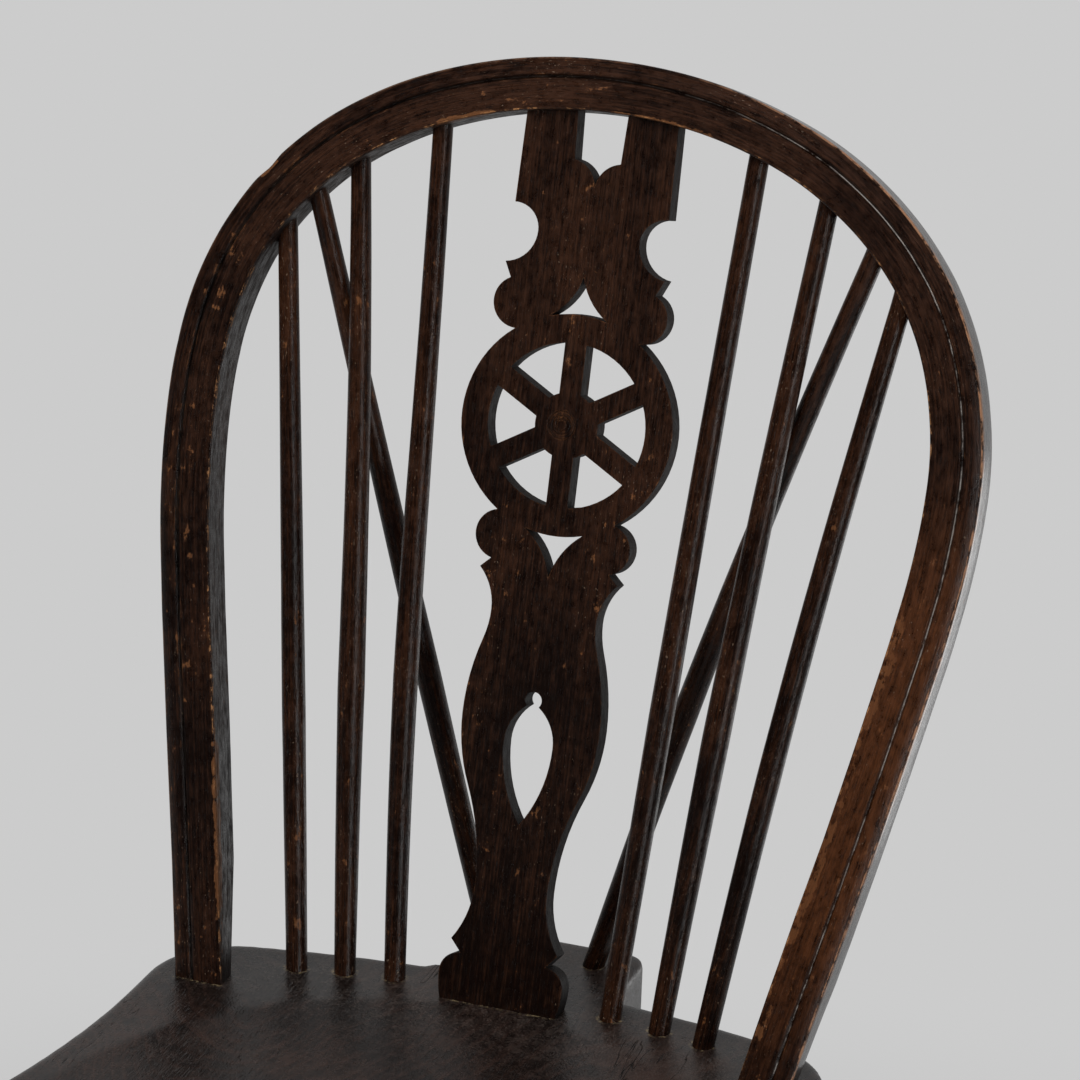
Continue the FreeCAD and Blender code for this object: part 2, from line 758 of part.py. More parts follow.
def hoop_path(body):
    """Half of the hoop's centreline: crown, shoulder and side arcs, and the straight leg."""
    path = new_sketch(body, "hoop_centreline", "XY_Plane")
    line = Outline(path, ZERO, ZERO)
    side_end = SHOULDER + (SHOULDER - side_centre).normalize() * s.hoop_shoulder_radius.value
    crown_end = SHOULDER + (SHOULDER - crown_centre).normalize() * s.hoop_shoulder_radius.value
    leg_foot = Vector(s.hoop_foot_half_spread.value, 0, 0)
    leg_way = Vector(math.sin(lean), math.cos(lean), 0)
    leg_top = leg_foot + leg_way * leg_run
    tail = s.seat_thickness * 1.3
    leg_tail = leg_foot - leg_way * (tail.value / math.cos(lean))
    crown_top = Vector(0, s.hoop_rise.value, 0)
    crown, crown_ends = line.add_arc(crown_top, crown_end, crown_centre, True)
    shoulder, shoulder_ends = line.add_arc(crown_end, side_end, SHOULDER, True)
    side, side_ends = line.add_arc(side_end, leg_top, side_centre, True)
    leg = path.addGeometry(Part.LineSegment(leg_top, leg_tail))
    mark = path.addGeometry(Part.Point(leg_foot), True)
    line.constrain(None, "PointOnObject", *crown_ends[0], -2)
    line.constrain(None, "PointOnObject", crown, 3, -2)
    line.constrain(s.hoop_rise, "DistanceY", -1, 1, *crown_ends[0])
    line.constrain(None, "Tangent", *crown_ends[1], *shoulder_ends[0])
    line.constrain(None, "Tangent", *shoulder_ends[1], *side_ends[0])
    line.constrain(None, "Tangent", *side_ends[1], leg, 1)
    line.constrain(s.hoop_crown_radius, "Radius", crown)
    line.constrain(s.hoop_shoulder_radius, "Radius", shoulder)
    line.constrain(s.hoop_side_radius, "Radius", side)
    line.constrain(s.hoop_half_width - s.hoop_side_radius, "DistanceX", -1, 1, side, 3)
    line.pin((mark, 1), s.hoop_foot_half_spread, ZERO)
    line.constrain(None, "PointOnObject", mark, 1, leg)
    line.constrain(-tail, "DistanceY", -1, 1, leg, 2)
    line.constrain(-(s.hoop_lean + 90.0), "Angle", leg)
    return path


def hoop_section(body):
    """The hoop's section at the crown: a flat, a fine groove and a falling bead, round behind."""
    sketch = new_sketch(body, "hoop_section", "YZ_Plane")
    inner = s.hoop_rise - s.hoop_face / 2
    outer = s.hoop_rise + s.hoop_face / 2
    groove = inner + s.hoop_flat
    back = -s.hoop_thickness
    line = Outline(sketch, inner, -s.hoop_arris)
    line.line(inner + s.hoop_arris, ZERO)
    line.line(groove, ZERO)
    line.line(groove + s.hoop_groove_width / 2, -s.hoop_groove_depth)
    line.line(groove + s.hoop_groove_width, -s.hoop_arris / 2)
    line.arc(outer - s.hoop_arris, -s.hoop_bead_fall, s.hoop_bead_radius, clockwise=True)
    line.line(outer, -s.hoop_bead_fall - s.hoop_arris)
    line.line(outer, back + s.hoop_back_round)
    line.arc(outer - s.hoop_back_round, back, s.hoop_back_round, clockwise=True)
    line.line(inner + s.hoop_back_round, back)
    line.arc(inner, back + s.hoop_back_round, s.hoop_back_round, clockwise=True)
    line.close()
    return sketch


def leg_of_hoop(side):
    """A frame on the middle of a hoop foot at the deck: local Y runs up the leg."""
    spread = side * s.hoop_foot_half_spread.value
    middle = Placement(Vector(spread, 0, -s.hoop_foot_thickness.value / 2), Rotation())
    tilt = Placement(Vector(), Rotation(Vector(0, 0, 1), -side * s.hoop_lean.value))
    return HOOP_FRAME * middle * tilt


def wedge_frame(side):
    """A frame on a hoop foot's end under the seat: local Y runs up into the wood."""
    drop = s.seat_thickness.value / math.cos(math.radians(s.hoop_rake.value)) / math.cos(lean)
    return leg_of_hoop(side) * Placement(Vector(0, -drop, 0), Rotation())


def shape_wedge(feature, placement, gap):
    """A wedge or its kerf, wider by a gap on each side, with its butt below the seat."""
    growth = (s.wedge_thickness - s.wedge_tip) / s.wedge_length
    butt = s.wedge_thickness + growth * s.run_out + gap * 2.0
    tip = s.wedge_tip + gap * 2.0
    reach = s.hoop_foot_thickness / 2
    for prop, size in (
        ("Xmin", -butt / 2),
        ("Xmax", butt / 2),
        ("X2min", -tip / 2),
        ("X2max", tip / 2),
        ("Ymin", -s.run_out),
        ("Ymax", s.wedge_length + gap),
        ("Zmin", -reach - gap),
        ("Zmax", reach + gap),
        ("Z2min", -reach - gap),
        ("Z2max", reach + gap),
    ):
        bind(feature, prop, size)
    feature.Placement = placement


def make_hoop():
    body = new_body("hoop", HOOP_FRAME)
    path = hoop_path(body)
    bow = body.newObject("PartDesign::AdditivePipe", "half_bow")
    bow.Profile = hoop_section(body)
    bow.Spine = (path, [])
    bow.Transition = 0
    mirrored(body, bow, "whole_bow")
    taper = new_sketch(body, "foot_taper", "YZ_Plane")
    beyond = -s.hoop_thickness * 1.5
    low = -s.seat_thickness * 2.0
    line = Outline(taper, s.hoop_taper_height, beyond)
    line.line(s.hoop_taper_height, -s.hoop_thickness)
    line.line(ZERO, -s.hoop_foot_thickness)
    line.line(low, -s.hoop_foot_thickness)
    line.line(low, beyond)
    line.close()
    pocket_through(body, taper, "foot_taper_cut")
    trim_level(body, "feet_level", underside, keep_above=True)
    for side_name, side in SIDES.items():
        kerf = body.newObject("PartDesign::SubtractiveWedge", f"{side_name}_kerf")
        placement = body.Placement.inverse() * wedge_frame(side)
        shape_wedge(kerf, placement, clearance)
    socket = s.stick_head_socket + s.socket_floor_gap + s.run_out
    for name, foot, head, belly in STICKS:
        start = head + (foot - head).normalize() * s.run_out.value
        beyond_head = head + (head - foot)
        drill(body, f"{name}_hole", along(start, beyond_head), s.stick_head_radius + clearance, socket)
    for side_name, side in SIDES.items():
        across = (s.strap_half_width + s.strap_gap_head_half_width) / 2
        width = s.strap_half_width - s.strap_gap_head_half_width + clearance * 2.0
        depth = s.splat_thickness + clearance * 2.0
        below = (STRAP_SEAT - s.run_out).value
        middle = Vector(side * across.value, below, -s.splat_thickness.value / 2)
        upward = Placement(middle, Rotation(Vector(1, 0, 0), -90))
        length = s.strap_tenon + s.socket_floor_gap + s.run_out
        mortise(body, f"{side_name}_strap_mortise", SPLAT_FRAME * upward, width, depth, length)


def make_wedges():
    for side_name, side in SIDES.items():
        body = new_body(f"{side_name}_hoop_wedge", wedge_frame(side))
        wedge = body.newObject("PartDesign::AdditiveWedge", f"{side_name}_wedge")
        shape_wedge(wedge, Placement(), ZERO)
        trim_level(body, f"{side_name}_wedge_level", underside, keep_above=True)


def wheel_edge(rise):
    """The wheel's half width, or its height, at a distance from its hub the other way."""
    return root(s.wheel_radius * s.wheel_radius - rise * rise)


def splat_half(sketch):
    """The right half of the splat's outline, from its tenon up to its straps and back down."""
    notch = s.foot_cheek_height + s.foot_notch_rise
    tip = notch + s.foot_tip_rise
    heart = HUB + s.heart_above_hub
    strap_top = STRAP_SEAT + s.strap_tenon
    line = Outline(sketch, ZERO, -s.splat_tenon)
    line.line(s.foot_half_width, -s.splat_tenon)
    line.line(s.foot_half_width, ZERO)
    line.upright_arc(s.foot_cheek_half_width, s.foot_cheek_height, False, upright_at_end=True)
    line.upright_arc(s.foot_notch_half_width, notch, False, upright_at_end=False)
    line.line(s.foot_tip_half_width, tip)
    line.upright_arc(s.ankle_half_width, tip + s.ankle_rise, True, upright_at_end=True)
    line.swell(s.hip_half_width, HUB - s.hip_below_hub, s.ankle_share)
    line.swell(s.waist_half_width, HUB - s.waist_below_hub, s.hip_share)
    nose = HUB - s.lower_nose_below_hub
    line.upright_arc(s.lower_nose_half_width, nose, True, upright_at_end=False)
    line.line(s.lower_notch_half_width, HUB - s.lower_notch_below_hub)
    ear = s.lower_ear_below_hub
    line.slack_arc(wheel_edge(ear), HUB - ear, s.ear_slack, clockwise=False)
    ear = s.upper_ear_above_hub
    line.arc(wheel_edge(ear), HUB + ear, s.wheel_radius, clockwise=False)
    notch = HUB + s.upper_notch_above_hub
    line.slack_arc(s.upper_notch_half_width, notch, s.ear_slack, clockwise=False)
    line.line(s.upper_nose_half_width, HUB + s.upper_nose_above_hub)
    line.upright_arc(s.bite_half_width, HUB + s.bite_above_hub, True, upright_at_end=True)
    corner = HUB + s.strap_corner_above_hub
    line.upright_arc(s.strap_corner_half_width, corner, True, upright_at_end=False)
    line.line(s.strap_half_width, strap_top)
    line.line(s.strap_gap_head_half_width, strap_top)
    line.line(s.strap_gap_foot_half_width, heart + s.strap_gap_rise)
    line.slack_arc(ZERO, heart, s.heart_slack, clockwise=False)
    line.close()


def wheel_window(sketch):
    """One of the wheel's windows, between two spokes, about the hub at the sketch's origin."""
    half_gap = 180.0 / s.spokes
    outline = Outline(sketch, ZERO, ZERO)
    ends = []
    for direction in (-1, 1):
        angle = math.radians(direction * half_gap.value)
        way = Vector(math.cos(angle), math.sin(angle), 0)
        inward = Vector(-way.y, way.x, 0) * (-direction * s.spoke_width.value / 2)
        reach = []
        for radius in (s.hub_radius.value, s.wheel_bore_radius.value):
            run = math.sqrt(radius**2 - s.spoke_width.value**2 / 4)
            reach.append(way * run + inward)
        index = sketch.addGeometry(Part.LineSegment(*reach))
        outline.constrain(half_gap * float(direction), "Angle", index)
        outline.constrain(s.spoke_width / 2, "Distance", -1, 1, index)
        ends.append((index, reach))
    for radius, at in ((s.hub_radius, 0), (s.wheel_bore_radius, 1)):
        low, high = ends[0][1][at], ends[1][1][at]
        index, arc_ends = outline.add_arc(low, high, Vector(0, 0, 0), False)
        outline.constrain(None, "Coincident", index, 3, -1, 1)
        outline.constrain(None, "Coincident", *arc_ends[0], ends[0][0], at + 1)
        outline.constrain(None, "Coincident", *arc_ends[1], ends[1][0], at + 1)
        outline.constrain(radius, "Radius", index)


def lobed_hole(sketch, apex, half_width, corner):
    """A three-sided hole: two lobes that lean in to an apex, and the wheel's own edge."""
    line = Outline(sketch, ZERO, apex)
    side = half_width if apex.value < corner.value else -half_width
    line.slack_arc(side, corner, s.lobe_slack, clockwise=True)
    line.arc(-side, corner, s.wheel_radius, clockwise=True)
    line.slack_arc(ZERO, apex, s.lobe_slack, clockwise=True)


def drop_hole(sketch):
    """The drop: a long pointed foot, a round shoulder and a keyhole eye."""
    neck = HUB - s.drop_neck_below_hub
    belly = neck - s.drop_shoulder
    apex = belly - s.drop_length
    narrow = s.drop_neck_half_width
    line = Outline(sketch, ZERO, apex)
    line.upright_arc(s.drop_half_width, belly, False, upright_at_end=True)
    line.upright_arc(narrow, neck, False, upright_at_end=False)
    line.arc(-narrow, neck, s.drop_eye_radius, clockwise=False, large=True)
    line.upright_arc(-s.drop_half_width, belly, False, upright_at_end=True)
    line.upright_arc(ZERO, apex, False, upright_at_end=False)


def hub_rings(sketch):
    """Three fine rings turned in the hub's face, a little off its middle."""
    outline = Outline(sketch, ZERO, ZERO)
    for radius in (s.outer_ring_radius, s.middle_ring_radius, s.inner_ring_radius):
        for edge in (radius, radius - s.ring_groove_width):
            centre = Vector(-s.ring_offset.value, 0, 0)
            index = sketch.addGeometry(Part.Circle(centre, Vector(0, 0, 1), edge.value))
            outline.constrain(edge, "Radius", index)
            outline.pin((index, 3), -s.ring_offset, ZERO)


def make_splat():
    body = new_body("splat", SPLAT_FRAME)
    outline = new_sketch(body, "splat_half_outline", "XY_Plane")
    splat_half(outline)
    board = pad(body, outline, "half_board", s.splat_thickness)
    mirrored(body, board, "whole_board")
    window = new_sketch(body, "wheel_window", "XY_Plane", HUB)
    wheel_window(window)
    cut = pocket_through(body, window, "window_cut")
    wheel = body.newObject("PartDesign::PolarPattern", "wheel_windows")
    wheel.Originals = [cut]
    wheel.Axis = (window, ["N_Axis"])
    wheel.Angle = 360
    bind(wheel, "Occurrences", Size(int(s.spokes.value), s.spokes.text))
    body.Tip = wheel
    arch = new_sketch(body, "arch_hole", "XY_Plane")
    arch_corner = HUB + wheel_edge(s.arch_half_width)
    lobed_hole(arch, HUB + s.arch_apex_above_hub, s.arch_half_width, arch_corner)
    pocket_through(body, arch, "arch_cut")
    vee = new_sketch(body, "vee_hole", "XY_Plane")
    vee_corner = HUB - wheel_edge(s.vee_half_width)
    lobed_hole(vee, HUB - s.vee_apex_below_hub, s.vee_half_width, vee_corner)
    pocket_through(body, vee, "vee_cut")
    drop = new_sketch(body, "drop_hole", "XY_Plane")
    drop_hole(drop)
    pocket_through(body, drop, "drop_cut")
    rings = new_sketch(body, "hub_rings", "XY_Plane", HUB)
    hub_rings(rings)
    grooves = body.newObject("PartDesign::Pocket", "ring_grooves")
    grooves.Profile = rings
    bind(grooves, "Length", s.ring_groove_depth)


def make_sticks():
    for name, foot, head, belly in STICKS:
        body = new_body(name, along(foot, head))
        sketch = new_sketch(body, f"{name}_profile", "XZ_Plane")
        length = as_size((head - foot).Length)
        line = Outline(sketch, ZERO, -s.stick_foot_socket)
        line.line(s.stick_foot_radius, -s.stick_foot_socket)
        line.line(s.stick_foot_radius, ZERO)
        line.line(belly, length * s.stick_belly_share)
        line.line(s.stick_head_radius, length)
        line.line(s.stick_head_radius, length + s.stick_head_socket)
        line.line(ZERO, length + s.stick_head_socket)
        line.close()
        turned(body, f"{name}_turning", sketch)


def make_legs():
    for (side_name, end_name), (head, foot) in LEGS.items():
        name = f"{side_name}_{end_name}_leg"
        body = new_body(name, along(foot, head))
        sketch = new_sketch(body, f"{name}_profile", "XZ_Plane")
        length = as_size((head - foot).Length)
        bead_top = length - s.leg_bead_top_drop
        bead = s.leg_bead_half_width
        below_floor = -s.leg_foot_radius
        line = Outline(sketch, ZERO, below_floor)
        line.line(s.leg_foot_radius, below_floor)
        line.line(s.leg_foot_radius, s.leg_foot_height)
        line.upright_arc(s.leg_ankle_radius, s.leg_ankle_height, True, upright_at_end=True)
        line.swell(s.leg_belly_radius, s.leg_belly_height, s.leg_ankle_share)
        line.upright_arc(bead, bead_top - s.leg_bead_height, False, upright_at_end=False)
        line.slack_arc(bead, bead_top, s.leg_bead_slack, clockwise=False)
        line.line(s.leg_cove_radius, length - s.leg_cove_drop)
        line.swell(s.leg_vase_radius, length - s.leg_vase_drop, s.leg_vase_share)
        neck = length - s.leg_neck_length
        line.upright_arc(s.leg_tenon_radius, neck, False, upright_at_end=False)
        line.line(s.leg_tenon_radius, length + s.leg_tenon_length)
        line.line(ZERO, length + s.leg_tenon_length)
        line.close()
        turned(body, f"{name}_turning", sketch)
        trim_level(body, f"{name}_level", 0.0, keep_above=True)
        front, rear = SIDE_STRETCHERS[side_name]
        joint, other = (front, rear) if end_name == "front" else (rear, front)
        start = joint + (other - joint).normalize() * (s.leg_belly_radius + s.run_out).value
        depth = s.stretcher_tenon_length + s.socket_floor_gap + s.run_out
        radius = s.stretcher_tenon_radius + clearance
        drill(body, f"{name}_stretcher_socket", along(start, joint), radius, depth)


def make_stretcher(name, start, end, host_radius, tenon_length, radius):
    """A turned stretcher between two centres: straight tenons, and a swelling in its middle."""
    placement, half = stretcher_frame(start, end)
    body = new_body(name, placement)
    sketch = new_sketch(body, f"{name}_profile", "XZ_Plane")
    tenon = s.stretcher_tenon_radius
    neck = as_size(half) - host_radius - s.stretcher_neck_length
    tip = as_size(half) - host_radius + tenon_length
    line = Outline(sketch, ZERO, -tip)
    line.line(tenon, -tip)
    line.line(tenon, -neck)
    line.swell(radius, ZERO, s.stretcher_share)
    line.swell(tenon, neck, 1.0 - s.stretcher_share)
    line.line(tenon, tip)
    line.line(ZERO, tip)
    line.close()
    turned(body, f"{name}_turning", sketch)
    return body


def make_stretchers():
    for side_name, (front, rear) in SIDE_STRETCHERS.items():
        name = f"{side_name}_stretcher"
        host, tenon = s.leg_belly_radius, s.stretcher_tenon_length
        body = make_stretcher(name, front, rear, host, tenon, s.side_stretcher_radius)
        joint = (front + rear) / 2
        other = CROSS[1] if side_name == "left" else CROSS[0]
        start = joint + (other - joint).normalize() * (s.side_stretcher_radius + s.run_out).value
        depth = s.cross_tenon_length + s.socket_floor_gap + s.run_out
        radius = s.stretcher_tenon_radius + clearance
        drill(body, f"{name}_socket", along(start, joint), radius, depth)
    host, tenon = s.side_stretcher_radius, s.cross_tenon_length
    make_stretcher("cross_stretcher", *CROSS, host, tenon, s.cross_stretcher_radius)


make_seat()
make_hoop()
make_wedges()
make_splat()
make_sticks()
make_legs()
make_stretchers()
doc.recompute()

faults = []
for item in doc.Objects:
    if "Invalid" in item.State or "Error" in item.State:
        faults.append(f"{item.Name} failed")
    if item.TypeId == "Sketcher::SketchObject" and not item.FullyConstrained:
        faults.append(f"{item.Name} is not fully constrained")
    cuts = ("Subtractive", "Pocket")
    if any(word in item.TypeId for word in cuts) and item.BaseFeature is not None:
        if item.BaseFeature.Shape.Volume - item.Shape.Volume < 0.1:
            faults.append(f"{item.Name} cuts nothing")
bodies = [item for item in doc.Objects if item.TypeId == "PartDesign::Body"]
for body in bodies:
    if body.Shape.isNull() or not body.Shape.isValid() or len(body.Shape.Solids) != 1:
        faults.append(f"{body.Label} is not one valid solid")
if faults:
    raise RuntimeError("; ".join(faults))

os.makedirs("parts", exist_ok=True)
for body in bodies:
    body.Shape.exportStep(os.path.join("parts", f"{body.Label}.step"))
    print(body.Label, round(body.Shape.Volume / 1000, 1), "cm3")
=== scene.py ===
import math

import bmesh
import bpy
import numpy as np
from mathutils import Matrix, Vector, noise


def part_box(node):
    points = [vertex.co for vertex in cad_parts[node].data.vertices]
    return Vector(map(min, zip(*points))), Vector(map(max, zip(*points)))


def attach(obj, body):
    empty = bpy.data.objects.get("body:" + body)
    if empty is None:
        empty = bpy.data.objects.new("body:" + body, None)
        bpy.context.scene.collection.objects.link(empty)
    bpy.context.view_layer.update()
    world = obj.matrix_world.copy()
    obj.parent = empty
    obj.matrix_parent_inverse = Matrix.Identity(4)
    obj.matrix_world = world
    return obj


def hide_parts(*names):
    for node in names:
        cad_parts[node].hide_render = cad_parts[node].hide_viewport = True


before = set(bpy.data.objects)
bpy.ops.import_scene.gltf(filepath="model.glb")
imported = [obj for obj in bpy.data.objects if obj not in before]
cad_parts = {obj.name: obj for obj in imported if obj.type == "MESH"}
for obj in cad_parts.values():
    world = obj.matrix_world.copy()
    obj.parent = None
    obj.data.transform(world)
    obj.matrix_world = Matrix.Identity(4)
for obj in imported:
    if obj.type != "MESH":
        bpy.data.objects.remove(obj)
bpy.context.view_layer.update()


# The studio: one side chair on a plain pale floor before a plain pale backdrop, seen from a little
# to its right and from well above. Two broad lamps in front light it evenly, a tall strip on the
# right draws the thin shine down each stick, and a panel behind it lights the grazing faces.

BACKDROP_GREY, FLOOR_GREY, AIR_LIGHT = 0.604, 0.62, 0.45
MIRRORED_BEHIND, MIRRORED_IN_FRONT = 0.40, 0.015
FLOOR_HALF, FLOOR_FADE_FROM, FLOOR_FADE_TO = 8.0, 0.45, 1.1
CAMERA_PLACE = (0.7233, -1.8660, 1.5006)
CAMERA_TURN, CAMERA_DIP, CAMERA_ROLL = 19.69, 21.0, 1.9
LENS_MM, FILM_MM, FARTHEST = 160.54, 36.0, 50.0


class Wire:
    """One output of a node: + - * / on it add Math nodes, and node() adds any other node."""

    def __init__(self, tree, socket=None):
        self.tree = tree
        self.socket = socket

    @staticmethod
    def find(sockets, key):
        if isinstance(key, int):
            return sockets[key]
        for socket in sockets:
            if socket.identifier == key:
                return socket
        return sockets[key]

    def node(self, kind, values=None, output=0, **settings):
        made = self.tree.nodes.new(kind)
        for name, setting in settings.items():
            setattr(made, name, setting)
        for key, value in (values or {}).items():
            socket = self.find(made.inputs, key)
            if isinstance(value, Wire):
                self.tree.links.new(value.socket, socket)
            else:
                socket.default_value = value
        return Wire(self.tree, self.find(made.outputs, output)) if made.outputs else None

    def maths(self, operation, *others):
        values = dict(enumerate((self, *others)))
        return self.node("ShaderNodeMath", values, operation=operation)

    def vector(self, operation, other=None, output=0):
        values = {0: self} if other is None else {0: self, 1: other}
        return self.node("ShaderNodeVectorMath", values, output, operation=operation)

    def __add__(self, other):
        return self.maths("ADD", other)

    def __sub__(self, other):
        return self.maths("SUBTRACT", other)

    def __mul__(self, other):
        return self.maths("MULTIPLY", other)

    def __truediv__(self, other):
        return self.maths("DIVIDE", other)

    def __rsub__(self, other):
        return self.node("ShaderNodeMath", {0: other, 1: self}, operation="SUBTRACT")

    __radd__ = __add__
    __rmul__ = __mul__

    def gap_to(self, other):
        """How far this value is from another, either way."""
        return (self - other).maths("ABSOLUTE")

    def part(self, axis):
        """This vector's X, Y or Z."""
        return self.node("ShaderNodeSeparateXYZ", {0: self}, output=axis)

    def scaled(self, factors):
        return self.vector("MULTIPLY", factors)

    def fog(self, scale, detail, roughness):
        """Plain noise on this vector, with scale features in each unit of it."""
        values = {"Vector": self, "Scale": scale, "Detail": detail, "Roughness": roughness}
        return self.node("ShaderNodeTexNoise", values, output="Fac")

    def step(self, low, high):
        """Rises smoothly from 0 to 1 as this value goes from low to high."""
        values = {"Value": self, "From Min": low, "From Max": high}
        return self.node("ShaderNodeMapRange", values, interpolation_type="SMOOTHSTEP")

    def blend(self, first, second):
        """The first colour where this value is 0 and the second where it is 1."""
        values = {"Factor_Float": self, "A_Color": first, "B_Color": second}
        return self.node("ShaderNodeMix", values, "Result_Color", data_type="RGBA")


def grey(level):
    return (level, level, level, 1.0)


world = bpy.data.worlds.new("studio")
bpy.context.scene.world = world
world.use_nodes = True
world.node_tree.nodes.clear()
air = Wire(world.node_tree)
seen = air.node("ShaderNodeLightPath", output="Is Camera Ray")
glossy = air.node("ShaderNodeLightPath", output="Is Glossy Ray")
behind = air.node("ShaderNodeTexCoord", output="Generated").part("Y").step(0.0, 0.7)
mirrored_wall = behind.blend(grey(MIRRORED_IN_FRONT), grey(MIRRORED_BEHIND))
lit = glossy.blend(grey(AIR_LIGHT), mirrored_wall)
shown = seen.blend(lit, grey(BACKDROP_GREY))
sky = air.node("ShaderNodeBackground", {"Color": shown, "Strength": 1.0})
air.node("ShaderNodeOutputWorld", {"Surface": sky})

camera_data = bpy.data.cameras.new("camera")
camera_data.lens = LENS_MM
camera_data.sensor_width = FILM_MM
camera_data.clip_end = FARTHEST
camera = bpy.data.objects.new("camera", camera_data)
bpy.context.scene.collection.objects.link(camera)
camera.matrix_world = (
    Matrix.Translation(CAMERA_PLACE)
    @ Matrix.Rotation(math.radians(CAMERA_TURN), 4, "Z")
    @ Matrix.Rotation(math.radians(90.0 - CAMERA_DIP), 4, "X")
    @ Matrix.Rotation(math.radians(CAMERA_ROLL), 4, "Z")
)
bpy.context.scene.camera = camera
bpy.context.scene.view_settings.view_transform = "Standard"


def softbox(name, place, target, size, power, shine=True, glow=True):
    """A lamp with a soft face: shine shows it in polished faces, and glow lights matt ones."""
    lamp = bpy.data.lights.new(name, "AREA")
    lamp.shape = "RECTANGLE"
    lamp.size, lamp.size_y = size
    lamp.energy = power
    box = bpy.data.objects.new(name, lamp)
    bpy.context.scene.collection.objects.link(box)
    aim = Vector(target) - Vector(place)
    box.matrix_world = Matrix.Translation(place) @ aim.to_track_quat("-Z", "Y").to_matrix().to_4x4()
    box.visible_camera, box.visible_glossy, box.visible_diffuse = False, shine, glow


softbox("front_softbox", (-1.2, -1.9, 2.3), (0.0, 0.1, 0.65), (1.6, 1.6), 32.0, shine=False)
softbox("top_softbox", (0.1, -0.5, 1.9), (0.0, 0.2, 0.7), (0.9, 0.9), 11.0, shine=False)
softbox("strip_softbox", (1.9, -1.25, 0.95), (0.0, 0.1, 0.65), (0.28, 1.6), 11.0)
softbox("panel_behind", (0.66, 1.05, 0.14), (0.2, 0.05, 0.67), (0.46, 0.62), 1.7, glow=False)

floor_mesh = bpy.data.meshes.new("floor")
corners = [(x * FLOOR_HALF, y * FLOOR_HALF, 0.0) for x, y in ((-1, -1), (1, -1), (1, 1), (-1, 1))]
floor_mesh.from_pydata(corners, [], [(0, 1, 2, 3)])
floor = bpy.data.objects.new("floor", floor_mesh)
bpy.context.scene.collection.objects.link(floor)
floor_paint = bpy.data.materials.new("pale_floor")
floor_paint.use_nodes = True
floor_paint.node_tree.nodes.clear()
paint = Wire(floor_paint.node_tree)
distance = paint.node("ShaderNodeTexCoord", output="Object").vector("LENGTH", output="Value")
far = distance.step(FLOOR_FADE_FROM, FLOOR_FADE_TO)
seen = paint.node("ShaderNodeLightPath", output="Is Camera Ray")
glossy = paint.node("ShaderNodeLightPath", output="Is Glossy Ray")
matt = paint.node("ShaderNodeBsdfDiffuse", {"Color": grey(FLOOR_GREY)})
far_grey = seen.blend(grey(MIRRORED_BEHIND), grey(BACKDROP_GREY))
flat = paint.node("ShaderNodeEmission", {"Color": far_grey, "Strength": 1.0})
share = far * seen.maths("MAXIMUM", glossy)
surface = paint.node("ShaderNodeMixShader", {0: share, 1: matt, 2: flat})
paint.node("ShaderNodeOutputMaterial", {"Surface": surface})
floor_mesh.materials.append(floor_paint)


# The seat: one thick elm board, sawn to shape, hollowed for the sitter and left with a short tail
# for the two braces. It is stained nearly black and waxed, and dust has settled in a pale line
# round everything that stands in it.

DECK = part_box("seat")[1].z
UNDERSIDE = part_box("seat")[0].z
SPLAT_LINE = 0.11467
SIDES = {"left": -1, "right": 1}
SPINDLE_FEET = {
    "outer_stick": ({"left": 0.1066, "right": 0.1052}, 0.0025),
    "middle_stick": ({"left": 0.0831, "right": 0.0810}, 0.0078),
    "inner_stick": ({"left": 0.0582, "right": 0.0544}, 0.0119),
    "brace": ({"left": 0.0267, "right": 0.0269}, 0.0642),
}
STANDING_FRONTS = (
    (-0.1583, -0.1326, 0.0841),
    (0.1326, 0.1583, 0.0841),
    (-0.0298, 0.0298, 0.1147),
)
JOIN_REACH, FLAT_DEGREES = 2e-6, 0.3
PLUG_TOP, PLUG_DEPTH, SEAT_VOXEL = 0.0003, 0.018, 0.0021
TAIL_ROOT, TAIL_HEART = SPLAT_LINE + 0.0338, 0.022
TAIL_PULL, TAIL_PULL_FADE, TAIL_LENGTH = 0.0115, 0.005, 0.05
WARP_FROM, WARP_TO, WARP_SKIN = 0.03, 0.08, (0.016, 0.004)
DECK_LIFT, DECK_TILT = 0.0013, 0.004
RING_PITCH, RING_WOBBLE, PITH_OFF = 90.0, 4.0, 0.12
FOOT_DUST_RADIUS, DUST_WIDTH = 0.0058, 0.0016
SEAT_DARK = (0.0060, 0.0040, 0.0035, 1.0)
SEAT_BROWN = (0.030, 0.0155, 0.0115, 1.0)
SEAT_BLOOM = (0.060, 0.049, 0.043, 1.0)
SEAT_SPECK = (0.16, 0.125, 0.10, 1.0)
CRACK_BLACK = (0.0015, 0.0010, 0.0008, 1.0)
WORN_WOOD = (0.19, 0.072, 0.022, 1.0)
DUST = (0.16, 0.12, 0.065, 1.0)
WAX_SHINE, SEAT_SHINE, POLISH_ROUGHNESS = 0.26, 0.5, 0.16
SOFT_ARRIS, RELIEF_DEPTH = 0.0006, 0.0003
# How each pattern is stretched across and along the board, its detail and its roughness
ELM_GRAIN = {
    "drift": ((5.0, 5.0, 2.0), 3.0, 0.5),
    "fibres": ((620.0, 620.0, 40.0), 4.0, 0.65),
    "pores": ((1300.0, 1300.0, 120.0), 2.0, 0.5),
}
ELM_SPOTS = {
    "cloud": (16.0, 5.0, 0.62),
    "mottle": (150.0, 5.0, 0.7),
    "crackle": (900.0, 3.0, 0.6),
    "specks": (1500.0, 1.0, 0.5),
    "ragged": (520.0, 3.0, 0.5),
}


